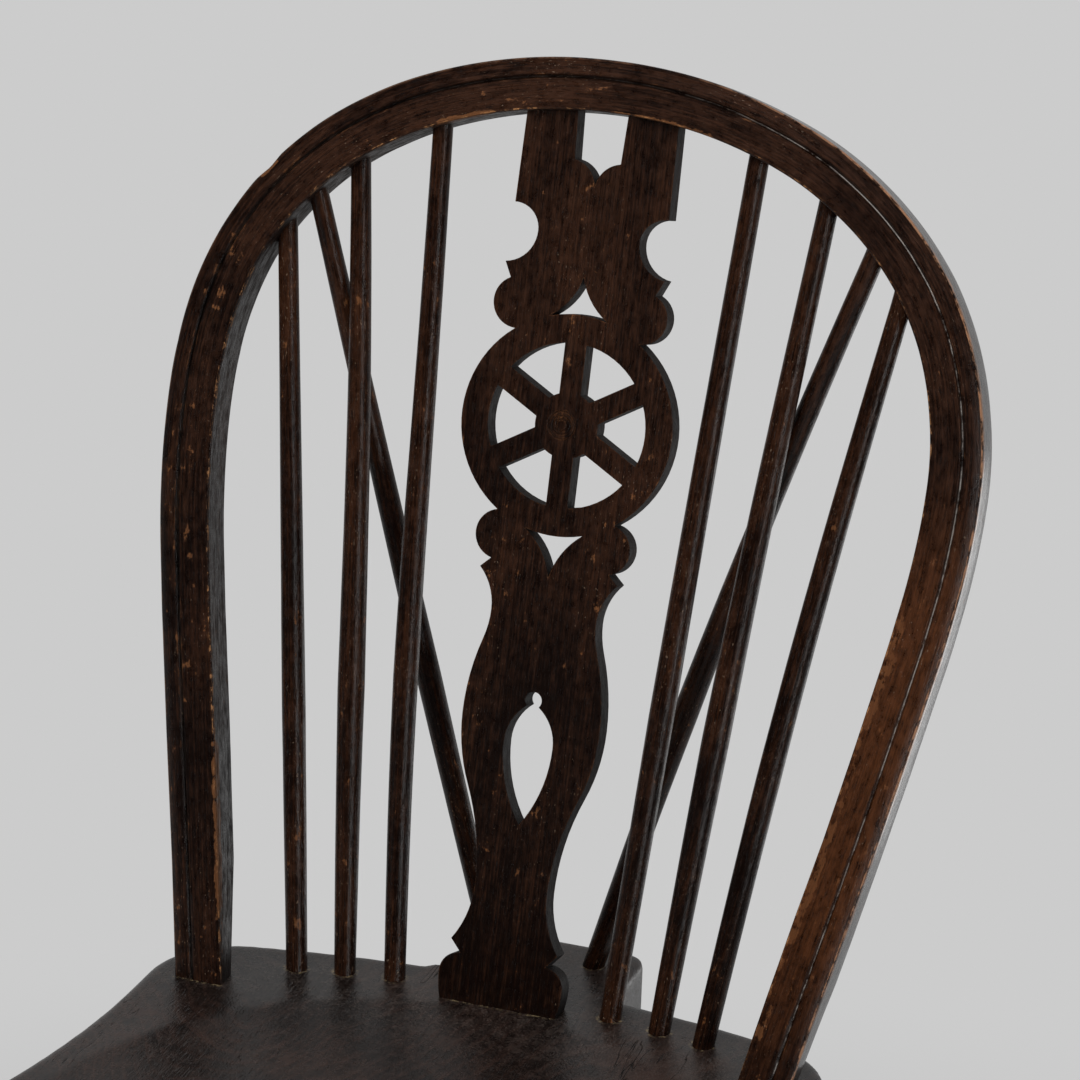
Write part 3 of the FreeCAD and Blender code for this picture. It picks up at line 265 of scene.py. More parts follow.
def wood_material(name):
    """A new material: its tree, the grain vector along the piece, and a finisher for the end."""
    material = bpy.data.materials.new(name)
    material.use_nodes = True
    material.node_tree.nodes.clear()
    start = Wire(material.node_tree)
    grain = start.node("ShaderNodeAttribute", output="Vector", attribute_name="grain")

    def finish(colour, roughness, height, bump=0.7, shine=WAX_SHINE, coat=0.0):
        softened = start.node("ShaderNodeBevel", {"Radius": SOFT_ARRIS}, samples=4)
        relief = {"Height": height, "Strength": bump, "Distance": RELIEF_DEPTH}
        relief["Normal"] = softened
        skin = {
            "Base Color": colour,
            "Roughness": roughness,
            "Specular IOR Level": shine,
            "Coat Weight": coat,
            "Coat Roughness": POLISH_ROUGHNESS,
            "Normal": start.node("ShaderNodeBump", relief),
        }
        skin = start.node("ShaderNodeBsdfPrincipled", skin)
        start.node("ShaderNodeOutputMaterial", {"Surface": skin})
        return material

    return start, grain, finish


def grain_patterns(grain, table):
    """The noise patterns of a table, each stretched along the grain."""
    return {name: grain.scaled(size).fog(1.0, *fog) for name, (size, *fog) in table.items()}


def arris_mask(start, reach):
    """Near 1 beside an edge or a corner of the piece, and 0 on its open faces."""
    softened = start.node("ShaderNodeBevel", {"Radius": reach}, samples=6)
    plain = start.node("ShaderNodeNewGeometry", output="Normal")
    return (1.0 - softened.vector("DOT_PRODUCT", plain, "Value")).step(0.01, 0.16)


def keep_grain(mesh, matrix, offset=0.0):
    """Stores where each point lies along and across the board the piece was cut from."""
    places = np.empty(len(mesh.vertices) * 3)
    mesh.vertices.foreach_get("co", places)
    local = np.array(matrix.inverted())
    places = places.reshape(-1, 3) @ local[:3, :3].T + local[:3, 3] + offset
    layer = mesh.attributes.new("grain", "FLOAT_VECTOR", "POINT")
    layer.data.foreach_set("vector", places.ravel())


def add_piece(name, mesh, node, material):
    piece = bpy.data.objects.new(name, mesh)
    bpy.context.scene.collection.objects.link(piece)
    mesh.materials.clear()
    mesh.materials.append(material)
    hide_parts(node)
    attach(piece, "root")
    return piece


def merged_copy(node, arris_angle=30.0):
    """A copy of a solid with its points joined, smooth but for its arrises."""
    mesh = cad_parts[node].data.copy()
    work = bmesh.new()
    work.from_mesh(mesh)
    bmesh.ops.remove_doubles(work, verts=work.verts, dist=JOIN_REACH)
    limit = math.radians(FLAT_DEGREES)
    bmesh.ops.dissolve_limit(work, angle_limit=limit, verts=work.verts, edges=work.edges)
    for face in work.faces:
        face.smooth = True
    for edge in work.edges:
        edge.smooth = not edge.is_manifold or edge.calc_face_angle() < math.radians(arris_angle)
    work.to_mesh(mesh)
    work.free()
    for layer in list(mesh.attributes):
        if layer.name.startswith("UVMap"):
            mesh.attributes.remove(layer)
    return mesh


def evaluated_mesh(mesh, *modifiers):
    """The mesh after its modifiers, each given as its kind and settings, as a plain mesh."""
    holder = bpy.data.objects.new("holder", mesh)
    bpy.context.scene.collection.objects.link(holder)
    for kind, settings in modifiers:
        modifier = holder.modifiers.new(kind, kind)
        for name, setting in settings.items():
            setattr(modifier, name, setting)
    depsgraph = bpy.context.evaluated_depsgraph_get()
    plain = bpy.data.meshes.new_from_object(holder.evaluated_get(depsgraph))
    bpy.data.objects.remove(holder)
    return plain


def cut_level(work, height, keep):
    """Cuts a solid level at a height, keeps the part above (-1) or below (1) and closes it."""
    geometry = work.verts[:] + work.edges[:] + work.faces[:]
    plane = {"plane_co": (0.0, 0.0, height), "plane_no": (0.0, 0.0, keep), "clear_outer": True}
    made = bmesh.ops.bisect_plane(work, geom=geometry, dist=1e-6, **plane)
    rims = [item for item in made["geom_cut"] if isinstance(item, bmesh.types.BMEdge)]
    bmesh.ops.holes_fill(work, edges=rims)


def seat_with_its_mortises_filled():
    """The seat and the tenons in its deck in one mesh, so that the remeshed deck closes on them."""
    mesh = merged_copy("seat")
    work = bmesh.new()
    work.from_mesh(mesh)
    feet = [f"{side}_{kind}" for side in SIDES for kind in SPINDLE_FEET]
    for node in feet + ["hoop", "splat"]:
        tenon = bmesh.new()
        tenon.from_mesh(merged_copy(node))
        cut_level(tenon, DECK - PLUG_TOP, 1.0)
        cut_level(tenon, DECK - PLUG_DEPTH, -1.0)
        plug = bpy.data.meshes.new("plug")
        tenon.to_mesh(plug)
        tenon.free()
        work.from_mesh(plug)
    work.to_mesh(mesh)
    work.free()
    return mesh


def ramp(value, low, high):
    """Rises straight from 0 to 1 as a plain number goes from low to high."""
    return min(max((value - low) / (high - low), 0.0), 1.0)


def settle_with_age(mesh):
    """Draws in the tail's root on the viewer's left, and lifts the deck behind the sitter."""
    for point in mesh.vertices:
        behind = ramp(point.co.y, TAIL_ROOT, TAIL_ROOT + 0.0015)
        pull = TAIL_PULL - TAIL_PULL_FADE * ramp(point.co.y, TAIL_ROOT, TAIL_ROOT + TAIL_LENGTH)
        point.co.x += behind * pull * ramp(-point.co.x, TAIL_HEART, TAIL_HEART * 2.0)
        lift = ramp(point.co.y, WARP_FROM, WARP_TO) * (DECK_LIFT + DECK_TILT * point.co.x)
        point.co.z += lift * ramp(point.co.z, DECK - WARP_SKIN[0], DECK - WARP_SKIN[1])


seat_mesh = evaluated_mesh(
    seat_with_its_mortises_filled(),
    ("REMESH", {"mode": "VOXEL", "voxel_size": SEAT_VOXEL, "use_smooth_shade": True}),
    ("SMOOTH", {"factor": 0.5, "iterations": 3}),
)
settle_with_age(seat_mesh)
keep_grain(seat_mesh, Matrix.Rotation(math.radians(-90.0), 4, "X"))


def dust_lines(place):
    """Near 1 in a thin line round each stick's foot and before each foot of the hoop and splat."""
    flat_place = place.scaled((1.0, 1.0, 0.0))
    sideways, depthwise = place.part("X"), place.part("Y")
    lines = []
    for side_name, side in SIDES.items():
        for across, back in SPINDLE_FEET.values():
            foot = (side * across[side_name], SPLAT_LINE + back, 0.0)
            reach = flat_place.vector("DISTANCE", foot, "Value").gap_to(FOOT_DUST_RADIUS)
            lines.append(1.0 - reach.step(DUST_WIDTH * 0.3, DUST_WIDTH))
    for left, right, front in STANDING_FRONTS:
        line = 1.0 - depthwise.gap_to(front).step(0.0006, 0.0024)
        line = line * sideways.step(left - 0.001, left + 0.001)
        lines.append(line * (1.0 - sideways.step(right - 0.001, right + 0.001)))
    dust = lines[0]
    for line in lines[1:]:
        dust = dust.maths("MAXIMUM", line)
    return dust


def waxed_elm():
    """Elm stained nearly black, with a dull bloom behind the sitter, cracks, specks and dust."""
    start, grain, finish = wood_material("waxed_elm")
    place = start.node("ShaderNodeTexCoord", output="Object")
    figure = grain_patterns(grain, ELM_GRAIN)
    drift, fibres, pores = figure["drift"], figure["fibres"], figure["pores"].step(0.60, 0.68)
    spots = {name: place.fog(*fog) for name, fog in ELM_SPOTS.items()}
    cloud, mottle, crackle = spots["cloud"], spots["mottle"], spots["crackle"]
    across = grain.part("X") + PITH_OFF
    pith = 0.20 - 0.9 * grain.part("Z") + 0.4 * (drift - 0.5)
    ring = (across * across + pith * pith).maths("SQRT")
    rings = (ring * RING_PITCH + drift * RING_WOBBLE).maths("FRACT")
    tone = (cloud - 0.5) * 1.9 + (mottle - 0.5) * 1.1 + (fibres - 0.5) * 0.9
    tone = tone + (crackle - 0.5) * 0.8 + rings.step(0.55, 1.0) * 0.22 + 0.30
    colour = tone.step(0.0, 1.0).blend(SEAT_DARK, SEAT_BROWN)
    cracks = grain.scaled((55.0, 55.0, 5.5)).vector("ADD", (0.3, 0.0, 0.0)).fog(1.0, 3.0, 0.6)
    cracks = (1.0 - cracks.gap_to(0.5).step(0.001, 0.006)) * cloud.step(0.54, 0.64)
    colour = (cracks * 0.9).blend(colour, CRACK_BLACK)
    worn = arris_mask(start, 0.004) * (mottle * 0.6 + cloud * 0.6).step(0.58, 0.68)
    colour = (worn * 0.35).blend(colour, WORN_WOOD)
    deck = place.part("Y").step(SPLAT_LINE - 0.055, SPLAT_LINE - 0.015)
    bloom = (mottle * 0.5 + crackle * 0.7).step(0.54, 0.78) * (deck * 0.40 + 0.10)
    colour = bloom.blend(colour, SEAT_BLOOM)
    specks = spots["specks"].step(0.68, 0.74) * (deck * 0.6 + cloud.step(0.5, 0.6) * 0.4)
    colour = (specks * 0.6).blend(colour, SEAT_SPECK)
    dust_and_glint = (spots["ragged"] * 0.6 + mottle * 0.5).step(0.52, 0.68)
    colour = (dust_lines(place) * dust_and_glint * 0.85).blend(colour, DUST)
    roughness = 0.23 + (mottle - 0.5) * 0.35 + (cloud - 0.5) * 0.4 + deck * 0.08 + cracks * 0.3
    height = fibres * 0.3 - pores * 0.4 + crackle * 0.5 + mottle * 0.6 - cracks * 1.5
    return finish(colour, roughness, height, bump=0.8, shine=SEAT_SHINE)


add_piece("seat_board", seat_mesh, "seat", waxed_elm())


# The hoop: one straight beech rod, steamed and bent in a round bow, with a scratched groove and a
# falling bead outside it. Both feet are shaved thinner behind, pass through the seat and are
# wedged from below.

HOOP_RAKE, HOOP_FORWARD = 19.34, 0.0306
HOOP_ARCS = ((0.2405, 23.0012), (0.163, 66.3309), (0.411, 11.5180))
HOOP_RISE, HOOP_LEG, HOOP_TENON, HOOP_STEP = 0.461, 0.21543, 0.052, 0.0022
HOOP_FACE, HOOP_DEPTH, FOOT_DEPTH, TAPER_HEIGHT = 0.0252, 0.0229, 0.0136, 0.058
HOOP_ARRIS, FLAT_WIDTH, GROOVE_WIDTH, GROOVE_DEPTH = 0.0009, 0.0151, 0.0018, 0.0015
GROOVE_LIP, GROOVE_HEEL, BEAD_TOP, BEAD_EDGE = 0.0004, 0.0003, 0.0005, 0.0008
BEAD_FALL, BEAD_RADIUS, EDGE_FALL, EDGE_RADIUS = 0.0026, 0.011, 0.0009, 0.0012
BACK_ROUND, FOOT_TRIM = 0.0025, 0.0004
SIDE_POINTS = (-0.0065, -0.0105, -0.0145)
# On each side: how far along the bow from its crown, and there how many millimetres its outer edge
# stands out and its inner edge stands in
BOW_WANDER = {
    -1: (
        (0.0, 0.06, 0.12, 0.15, 0.19, 0.215, 0.24, 0.27, 0.34, 0.40, 0.46, 0.52, 0.57, 0.64),
        (0.0, 0.6, 1.1, 2.0, 2.6, 2.3, 1.6, 0.4, 0.6, 1.3, 1.1, 0.5, 0.2, 0.0),
        (0.0, -0.1, -0.1, -0.9, -1.2, -1.1, 0.0, 1.1, 1.1, 0.4, 0.6, 0.3, 0.0, 0.0),
    ),
    1: (
        (0.0, 0.05, 0.08, 0.13, 0.15, 0.19, 0.215, 0.25, 0.30, 0.35, 0.42, 0.46, 0.50, 0.54, 0.60),
        (0.0, 0.3, 0.0, 0.1, 0.4, 1.2, 1.0, 0.5, 0.6, 0.0, 0.5, 0.4, 0.1, -0.6, -1.0),
        (0.0, -0.6, -0.8, -0.8, -1.3, -1.9, -1.7, -0.8, -0.3, 0.6, -0.4, -0.6, 0.1, 0.3, 0.2),
    ),
}
CHIP_RUN, CHIP_REACH, CHIP_DEPTH = -0.179, 0.008, 0.0011
UNEVEN_FACE, UNEVEN_DEPTH = 0.003, 0.004
# Each rub: where along the bow, how far to each side, from and to which share of its face, and how
# strong
BOW_RUBS = (
    (CHIP_RUN, 0.007, 0.92, 1.1, 0.5),
    (-0.078, 0.022, -0.1, 0.03, 0.35),
    (0.030, 0.045, -0.1, 0.02, 0.28),
    (-0.235, 0.045, 0.30, 0.70, 0.10),
    (-0.355, 0.110, 0.30, 0.85, 0.07),
    (-0.510, 0.070, -0.1, 0.03, 0.28),
    (0.365, 0.070, 0.0, 0.22, 0.10),
    (0.460, 0.140, -0.1, 0.14, 0.14),
    (0.520, 0.110, 0.0, 0.90, 0.05),
)
WEDGE_SPREAD, WEDGE_BACK = 0.138, 0.08
STAIN_DARK = (0.0042, 0.0017, 0.0011, 1.0)
STAIN_RED = (0.032, 0.0115, 0.0050, 1.0)
STAIN_WARM = (0.080, 0.024, 0.0060, 1.0)
FLECK_BROWN = (0.20, 0.14, 0.095, 1.0)
SAWN_GREY = (0.0055, 0.0042, 0.0038, 1.0)
GROOVE_PAINTED_SHADE = (0.0014, 0.0009, 0.0007, 1.0)
GROOVE_DUST_AND_GLINT = (0.26, 0.24, 0.22, 1.0)
BARE_BRIM = (0.34, 0.17, 0.09, 1.0)
BARE_LIP = (0.36, 0.17, 0.065, 1.0)
# How each pattern is stretched across and along the piece, its detail and its roughness
BEECH_GRAIN = {
    "fibres": ((1100.0, 1100.0, 26.0), 4.0, 0.65),
    "streaks": ((300.0, 300.0, 6.0), 3.0, 0.6),
    "mottle": ((260.0, 260.0, 130.0), 6.0, 0.72),
    "blots": ((170.0, 170.0, 125.0), 4.0, 0.6),
    "cloud": ((26.0, 26.0, 10.0), 3.0, 0.5),
    "pores": ((2400.0, 2400.0, 150.0), 1.0, 0.5),
    "flecks": ((1300.0, 1300.0, 560.0), 1.0, 0.5),
}


def board_frame(y, rake, lean=0.0):
    """On the deck: local X across, local Y up the raked plane, local Z to the front."""
    return (
        Matrix.Translation((0.0, y, DECK))
        @ Matrix.Rotation(math.radians(90.0 - rake), 4, "X")
        @ Matrix.Rotation(math.radians(lean), 4, "Z")
    )


def arc_points(start, end, radius, steps, clockwise=True):
    """Points along an arc between two corners, after the first and up to the last."""
    start, end = Vector(start), Vector(end)
    chord = end - start
    left = Vector((-chord.y, chord.x)).normalized()
    side = -1.0 if clockwise else 1.0
    centre = (start + end) / 2 + left * side * math.sqrt(radius**2 - chord.length_squared / 4)
    first = math.atan2(start.y - centre.y, start.x - centre.x)
    turn = 2.0 * math.asin(chord.length / 2 / radius) * side
    angles = [first + turn * step / steps for step in range(1, steps + 1)]
    return [centre + Vector((math.cos(a), math.sin(a))) * radius for a in angles]


def hoop_section():
    """The section from its inner front arris round: outward from the bow's inside, and forward."""
    inner, outer, back = -HOOP_FACE / 2, HOOP_FACE / 2, -HOOP_DEPTH
    groove = inner + FLAT_WIDTH
    bead = groove + GROOVE_WIDTH
    flat_run = groove - inner - HOOP_ARRIS
    points = [(inner, -HOOP_ARRIS)]
    points += arc_points(points[0], (inner + HOOP_ARRIS, 0.0), HOOP_ARRIS, 3)
    points += [(inner + HOOP_ARRIS + flat_run * k / 6, 0.0) for k in range(1, 6)]
    points += [(groove - GROOVE_LIP, -0.00005), (groove + GROOVE_LIP, -GROOVE_DEPTH * 0.8)]
    points += [(groove + GROOVE_WIDTH / 2, -GROOVE_DEPTH)]
    points += [(bead - GROOVE_HEEL, -GROOVE_DEPTH * 0.7), (bead, -BEAD_TOP)]
    bead_end, side_top = (outer - BEAD_EDGE, -BEAD_FALL), -BEAD_FALL - EDGE_FALL
    points += arc_points(points[-1], bead_end, BEAD_RADIUS, 6)
    points += arc_points(bead_end, (outer, side_top), EDGE_RADIUS, 2)
    points += [(outer, y) for y in SIDE_POINTS + (back + BACK_ROUND,)]
    points += arc_points(points[-1], (outer - BACK_ROUND, back), BACK_ROUND, 5)
    points += [(0.0, back), (inner + BACK_ROUND, back)]
    points += arc_points(points[-1], (inner, back + BACK_ROUND), BACK_ROUND, 5)
    points += [(inner, y) for y in SIDE_POINTS[::-1] + (side_top,)]
    return [Vector(point) for point in points]


def hoop_half_line():
    """Places and headings down the right half of the bow, from its crown to its foot."""
    place, heading = Vector((0.0, HOOP_RISE)), 0.0
    stations = [(place.copy(), heading)]
    for radius, turn in HOOP_ARCS:
        turn = math.radians(turn)
        steps = max(2, round(radius * turn / HOOP_STEP))
        hub = place - Vector((math.sin(heading), math.cos(heading))) * radius
        for step in range(1, steps + 1):
            angle = heading + turn * step / steps
            stations.append((hub + Vector((math.sin(angle), math.cos(angle))) * radius, angle))
        heading += turn
        place = stations[-1][0]
    leg = HOOP_LEG + HOOP_TENON
    ahead = Vector((math.cos(heading), -math.sin(heading)))
    steps = round(leg / HOOP_STEP)
    for step in range(1, steps + 1):
        stations.append((place + ahead * leg * step / steps, heading))
    return stations


def wander(run, share):
    """How far a point of the section stands out from the true bow, share 0 inside to 1 outside."""
    runs, outer, inner = BOW_WANDER[1 if run > 0.0 else -1]
    out = np.interp(abs(run), runs, outer) * share
    out -= np.interp(abs(run), runs, inner) * (1.0 - share)
    chip = max(0.0, 1.0 - abs(run - CHIP_RUN) / CHIP_REACH) * max(0.0, share * 8.0 - 7.0)
    return out / 1000.0 - chip * CHIP_DEPTH


def hoop_board():
    """The bow as a skin of quads on its section, with its grain laid along its line."""
    right = hoop_half_line()
    left = [(Vector((-place.x, place.y)), -heading) for place, heading in reversed(right[1:])]
    stations = left + right
    section = hoop_section()
    board = board_frame(SPLAT_LINE - HOOP_FORWARD, HOOP_RAKE)
    points, grains = [], []
    run = -sum((one[0] - two[0]).length for one, two in zip(left, left[1:] + right[:1]))
    for number, (place, heading) in enumerate(stations):
        if number:
            run += (place - stations[number - 1][0]).length
        outward = Vector((math.sin(heading), math.cos(heading)))
        taper = min(max(place.y / TAPER_HEIGHT, 0.0), 1.0)
        depth = (FOOT_DEPTH + (HOOP_DEPTH - FOOT_DEPTH) * taper) / HOOP_DEPTH
        for out, front in section:
            uneven = noise.noise(Vector((run * 60.0, out * 300.0, front * 300.0)))
            share = out / HOOP_FACE + 0.5
            width = 1.0 - UNEVEN_FACE * (1.0 - uneven)
            spot = place + outward * (out * width + wander(run, share))
            far = front * depth * (1.0 - UNEVEN_DEPTH * (1.0 - uneven))
            points.append(board @ Vector((spot.x, spot.y, far)))
            grains.append((out, front, run))
    faces = []
    ring = len(section)
    for row in range(len(stations) - 1):
        for column in range(ring):
            beside = (column + 1) % ring
            here, ahead = row * ring, (row + 1) * ring
            faces.append((here + column, ahead + column, ahead + beside, here + beside))
    mesh = bpy.data.meshes.new("bow")
    mesh.from_pydata(points, [], faces)
    layer = mesh.attributes.new("grain", "FLOAT_VECTOR", "POINT")
    layer.data.foreach_set("vector", np.array(grains).ravel())
    work = bmesh.new()
    work.from_mesh(mesh)
    cut_level(work, UNDERSIDE + FOOT_TRIM, -1.0)
    bmesh.ops.recalc_face_normals(work, faces=work.faces)
    for face in work.faces:
        face.smooth = True
    for edge in work.edges:
        edge.smooth = not edge.is_manifold or edge.calc_face_angle() < math.radians(50.0)
    work.to_mesh(mesh)
    work.free()
    return mesh


def stained_beech(name, arris, wear, marks=None, red=0.5, fleck=0.5, face=None, satin=0.33):
    """Beech stained nearly black: red-brown where the stain has thinned and, as painted light from
    above, higher up the piece; raw where it is worn.

    The arrises are worn within reach arris, marks adds what one piece alone has, and a board
    whose front looks along face keeps rough sawn edges.
    """
    start, grain, finish = wood_material(name)
    painted_top_light_height = start.node("ShaderNodeTexCoord", output="Object").part("Z")
    fields = grain_patterns(grain, BEECH_GRAIN)
    fibres, streaks, mottle = fields["fibres"], fields["streaks"], fields["mottle"]
    blots, cloud, pores = fields["blots"], fields["cloud"], fields["pores"].step(0.60, 0.68)
    tone = (fibres - 0.5) * 1.7 + (streaks - 0.5) * 0.55 + (mottle - 0.5) * 1.7
    # Painted light: from 0.50 to 0.86 m up the tone turns redder and lighter, standing in for light
    # falling from above.
    tone = tone + (cloud - 0.5) * 1.3 + painted_top_light_height.step(0.50, 0.86) * 0.26 + (red * 0.3 + 0.08)
    colour = tone.step(0.0, 1.0).blend(STAIN_DARK, STAIN_RED)
    colour = (pores * 0.7).blend(colour, STAIN_DARK)
    rubbed, lines, sawn, coat = marks(grain, mottle, fibres) if marks else (0.0, (), None, 0.0)
    worn = blots * 0.85 + mottle * 0.45 + fibres * 0.15 + cloud * 0.3 - 0.875
    worn = worn + arris_mask(start, arris) * (0.20 * wear) + rubbed
    worn = worn.step(0.175 - 0.03 * wear, 0.235 - 0.03 * wear)
    colour = (worn * fibres * 0.9).blend(colour, WORN_WOOD)
    for mask, shade in lines:
        colour = mask.blend(colour, shade)
    flecks = fields["flecks"].step(0.69, 0.75) * cloud.step(0.44, 0.60) * fleck
    colour = flecks.blend(colour, FLECK_BROWN)
    roughness = satin + (mottle - 0.5) * 0.6 + pores * 0.35 + worn * 0.12
    if face:
        facing = start.node("ShaderNodeNewGeometry", output="Normal")
        facing = facing.vector("DOT_PRODUCT", face, "Value").maths("ABSOLUTE")
        sawn = 1.0 - facing.step(0.25, 0.55)
    if sawn:
        colour = (sawn * 0.65).blend(colour, SAWN_GREY)
        roughness = roughness + sawn * 0.35
    height = fibres * 0.6 - pores * 0.9 + mottle * 0.9
    return finish(colour, roughness, height, coat=coat)


def bow_marks(grain, mottle, fibres):
    """The bow's rubs, the lines along its moulding with painted shade and a painted highlight in
    its groove, its scraped inside and its polished outside.
    """
    out, front, run = grain.part("X"), grain.part("Y"), grain.part("Z")
    inner, outer = -HOOP_FACE / 2, HOOP_FACE / 2
    facing = front.step(-0.0075, -0.0050)
    right = run.step(0.02, 0.14)
    rubbed = 0.0
    for where, half, share_from, share_to, strength in BOW_RUBS:
        near = 1.0 - run.gap_to(where).step(half * 0.3, half)
        low, high = inner + share_from * HOOP_FACE, inner + share_to * HOOP_FACE
        band = out.step(low - 0.001, low) * (1.0 - out.step(high, high + 0.0022))
        rubbed = near * band * strength + rubbed
    rubbed = rubbed * front.step(-0.0070, -0.0040)
    warm = 1.0 - run.gap_to(0.43).step(0.06, 0.17)
    warm = warm * facing * (mottle * 0.9 + fibres * 0.5).step(0.42, 0.86)
    groove = out.gap_to(inner + FLAT_WIDTH + 0.0006)
    # Painted shade: a black line along the groove of the front face, darker on the left half of the
    # bow.
    groove_painted_shade = (1.0 - groove.step(0.0005, 0.0012)) * facing * (0.85 - right * 0.45)
    # Dust and painted highlight: a pale grey dotted line in the groove, almost only on the lit
    # right half of the bow.
    dotted = (mottle * 0.6 + fibres * 0.4).step(0.44, 0.56)
    dust_and_glint = (1.0 - groove.step(0.0001, 0.0004)) * dotted * (right * 0.8 + 0.04) * facing
    brim = out.step(outer - 0.0011, outer - 0.0006) * facing
    brim = brim * (mottle * 0.7 + fibres * 0.5).step(0.56, 0.64) * (right * 0.6 + 0.2)
    lip = (1.0 - out.step(inner + 0.0006, inner + 0.0013)) * front.step(-0.0022, -0.0012)
    lip = lip * (mottle * 0.8 + fibres * 0.4).step(0.62, 0.70) * 0.8
    scraped = 1.0 - out.step(inner + 0.0002, inner + 0.0006)
    scraped = scraped * (mottle * 0.5 + fibres * 0.7).step(0.54, 0.70)
    polished = out.step(outer - 0.0006, outer - 0.0002) * (1.0 - mottle * 0.4)
    lines = (
        (warm * 0.7, STAIN_WARM),
        (groove_painted_shade, GROOVE_PAINTED_SHADE),
        (dust_and_glint, GROOVE_DUST_AND_GLINT),
        (brim, BARE_BRIM),
        (lip, BARE_LIP),
    )
    return rubbed, lines, scraped, polished


beech_hoop = stained_beech("waxed_beech_bow", 0.0016, 0.55, bow_marks)
add_piece("hoop_bow", hoop_board(), "hoop", beech_hoop)

wedge_wood = stained_beech("wedge_end_grain", 0.001, 0.3)
for side_name, side in SIDES.items():
    node = f"{side_name}_hoop_wedge"
    mesh = merged_copy(node)
    keep_grain(mesh, Matrix.Translation((side * WEDGE_SPREAD, WEDGE_BACK, UNDERSIDE)))
    add_piece(f"{node}_peg", mesh, node, wedge_wood)


# The splat: a thin beech board fret-sawn with a wheel of six spokes, a drop and two small eyes.
# Its foot is tenoned in the seat and its two straps in the hoop. The sawn edges stay rough and
# grey, and the face is cleaned up and waxed.

SPLAT_RAKE, SPLAT_LEAN, SAWN_BEVEL = 16.33, 0.6, 0.0005

splat_board = board_frame(SPLAT_LINE, SPLAT_RAKE, SPLAT_LEAN)
splat_mesh = evaluated_mesh(
    merged_copy("splat"),
    ("BEVEL", {"width": SAWN_BEVEL, "segments": 2, "limit_method": "ANGLE", "angle_limit": 0.6}),
)
keep_grain(splat_mesh, splat_board @ Matrix.Rotation(math.radians(-90.0), 4, "X"))
rake = math.radians(SPLAT_RAKE)
splat_front = (0.0, -math.cos(rake), math.sin(rake))
beech_splat = stained_beech("waxed_beech_splat", 0.0010, 1.0, red=0.45, face=splat_front)
add_piece("splat_fretwork", splat_mesh, "splat", beech_splat)


# Sticks and braces: eight slender beech spindles turned with a low swelling, straight off the
# lathe but bowed a little with age. Their feet stand in drilled sockets in the seat and their
# heads in the hoop.

FOOT_RADIUS, HEAD_RADIUS, BELLY_SHARE = 0.0053, 0.0049, 0.36
FOOT_SOCKET, HEAD_SOCKET = 0.022, 0.009
RINGS_ALONG, RINGS_AROUND = 150, 28
# Each kind's radius at its belly, and how far out its head stands in the hoop
SPINDLES = {
    "outer_stick": (0.0059, {"left": 0.1585, "right": 0.1534}),
    "middle_stick": (0.0067, {"left": 0.1257, "right": 0.1112}),
    "inner_stick": (0.0062, {"left": 0.0864, "right": 0.0740}),
    "brace": (0.0063, {"left": 0.1444, "right": 0.1370}),
}
# How far each has bowed to the right half-way, and how far it also whips to and fro
BOWS = {
    "left_middle_stick": (0.0009, -0.0007),
    "left_inner_stick": (-0.0029, -0.0008),
    "left_brace": (-0.0006, 0.0),
    "right_inner_stick": (-0.0005, 0.0),
    "right_middle_stick": (-0.0018, 0.0),
    "right_outer_stick": (-0.0032, 0.0),
    "right_brace": (-0.0042, 0.0),
}


def hoop_inside(across):
    """The height up the hoop's plane of its inner face, at a distance from its middle."""
    for place, heading in hoop_half_line():
        inner = place - Vector((math.sin(heading), math.cos(heading))) * HOOP_FACE / 2
        if inner.x >= across:
            return inner.y
    return 0.0


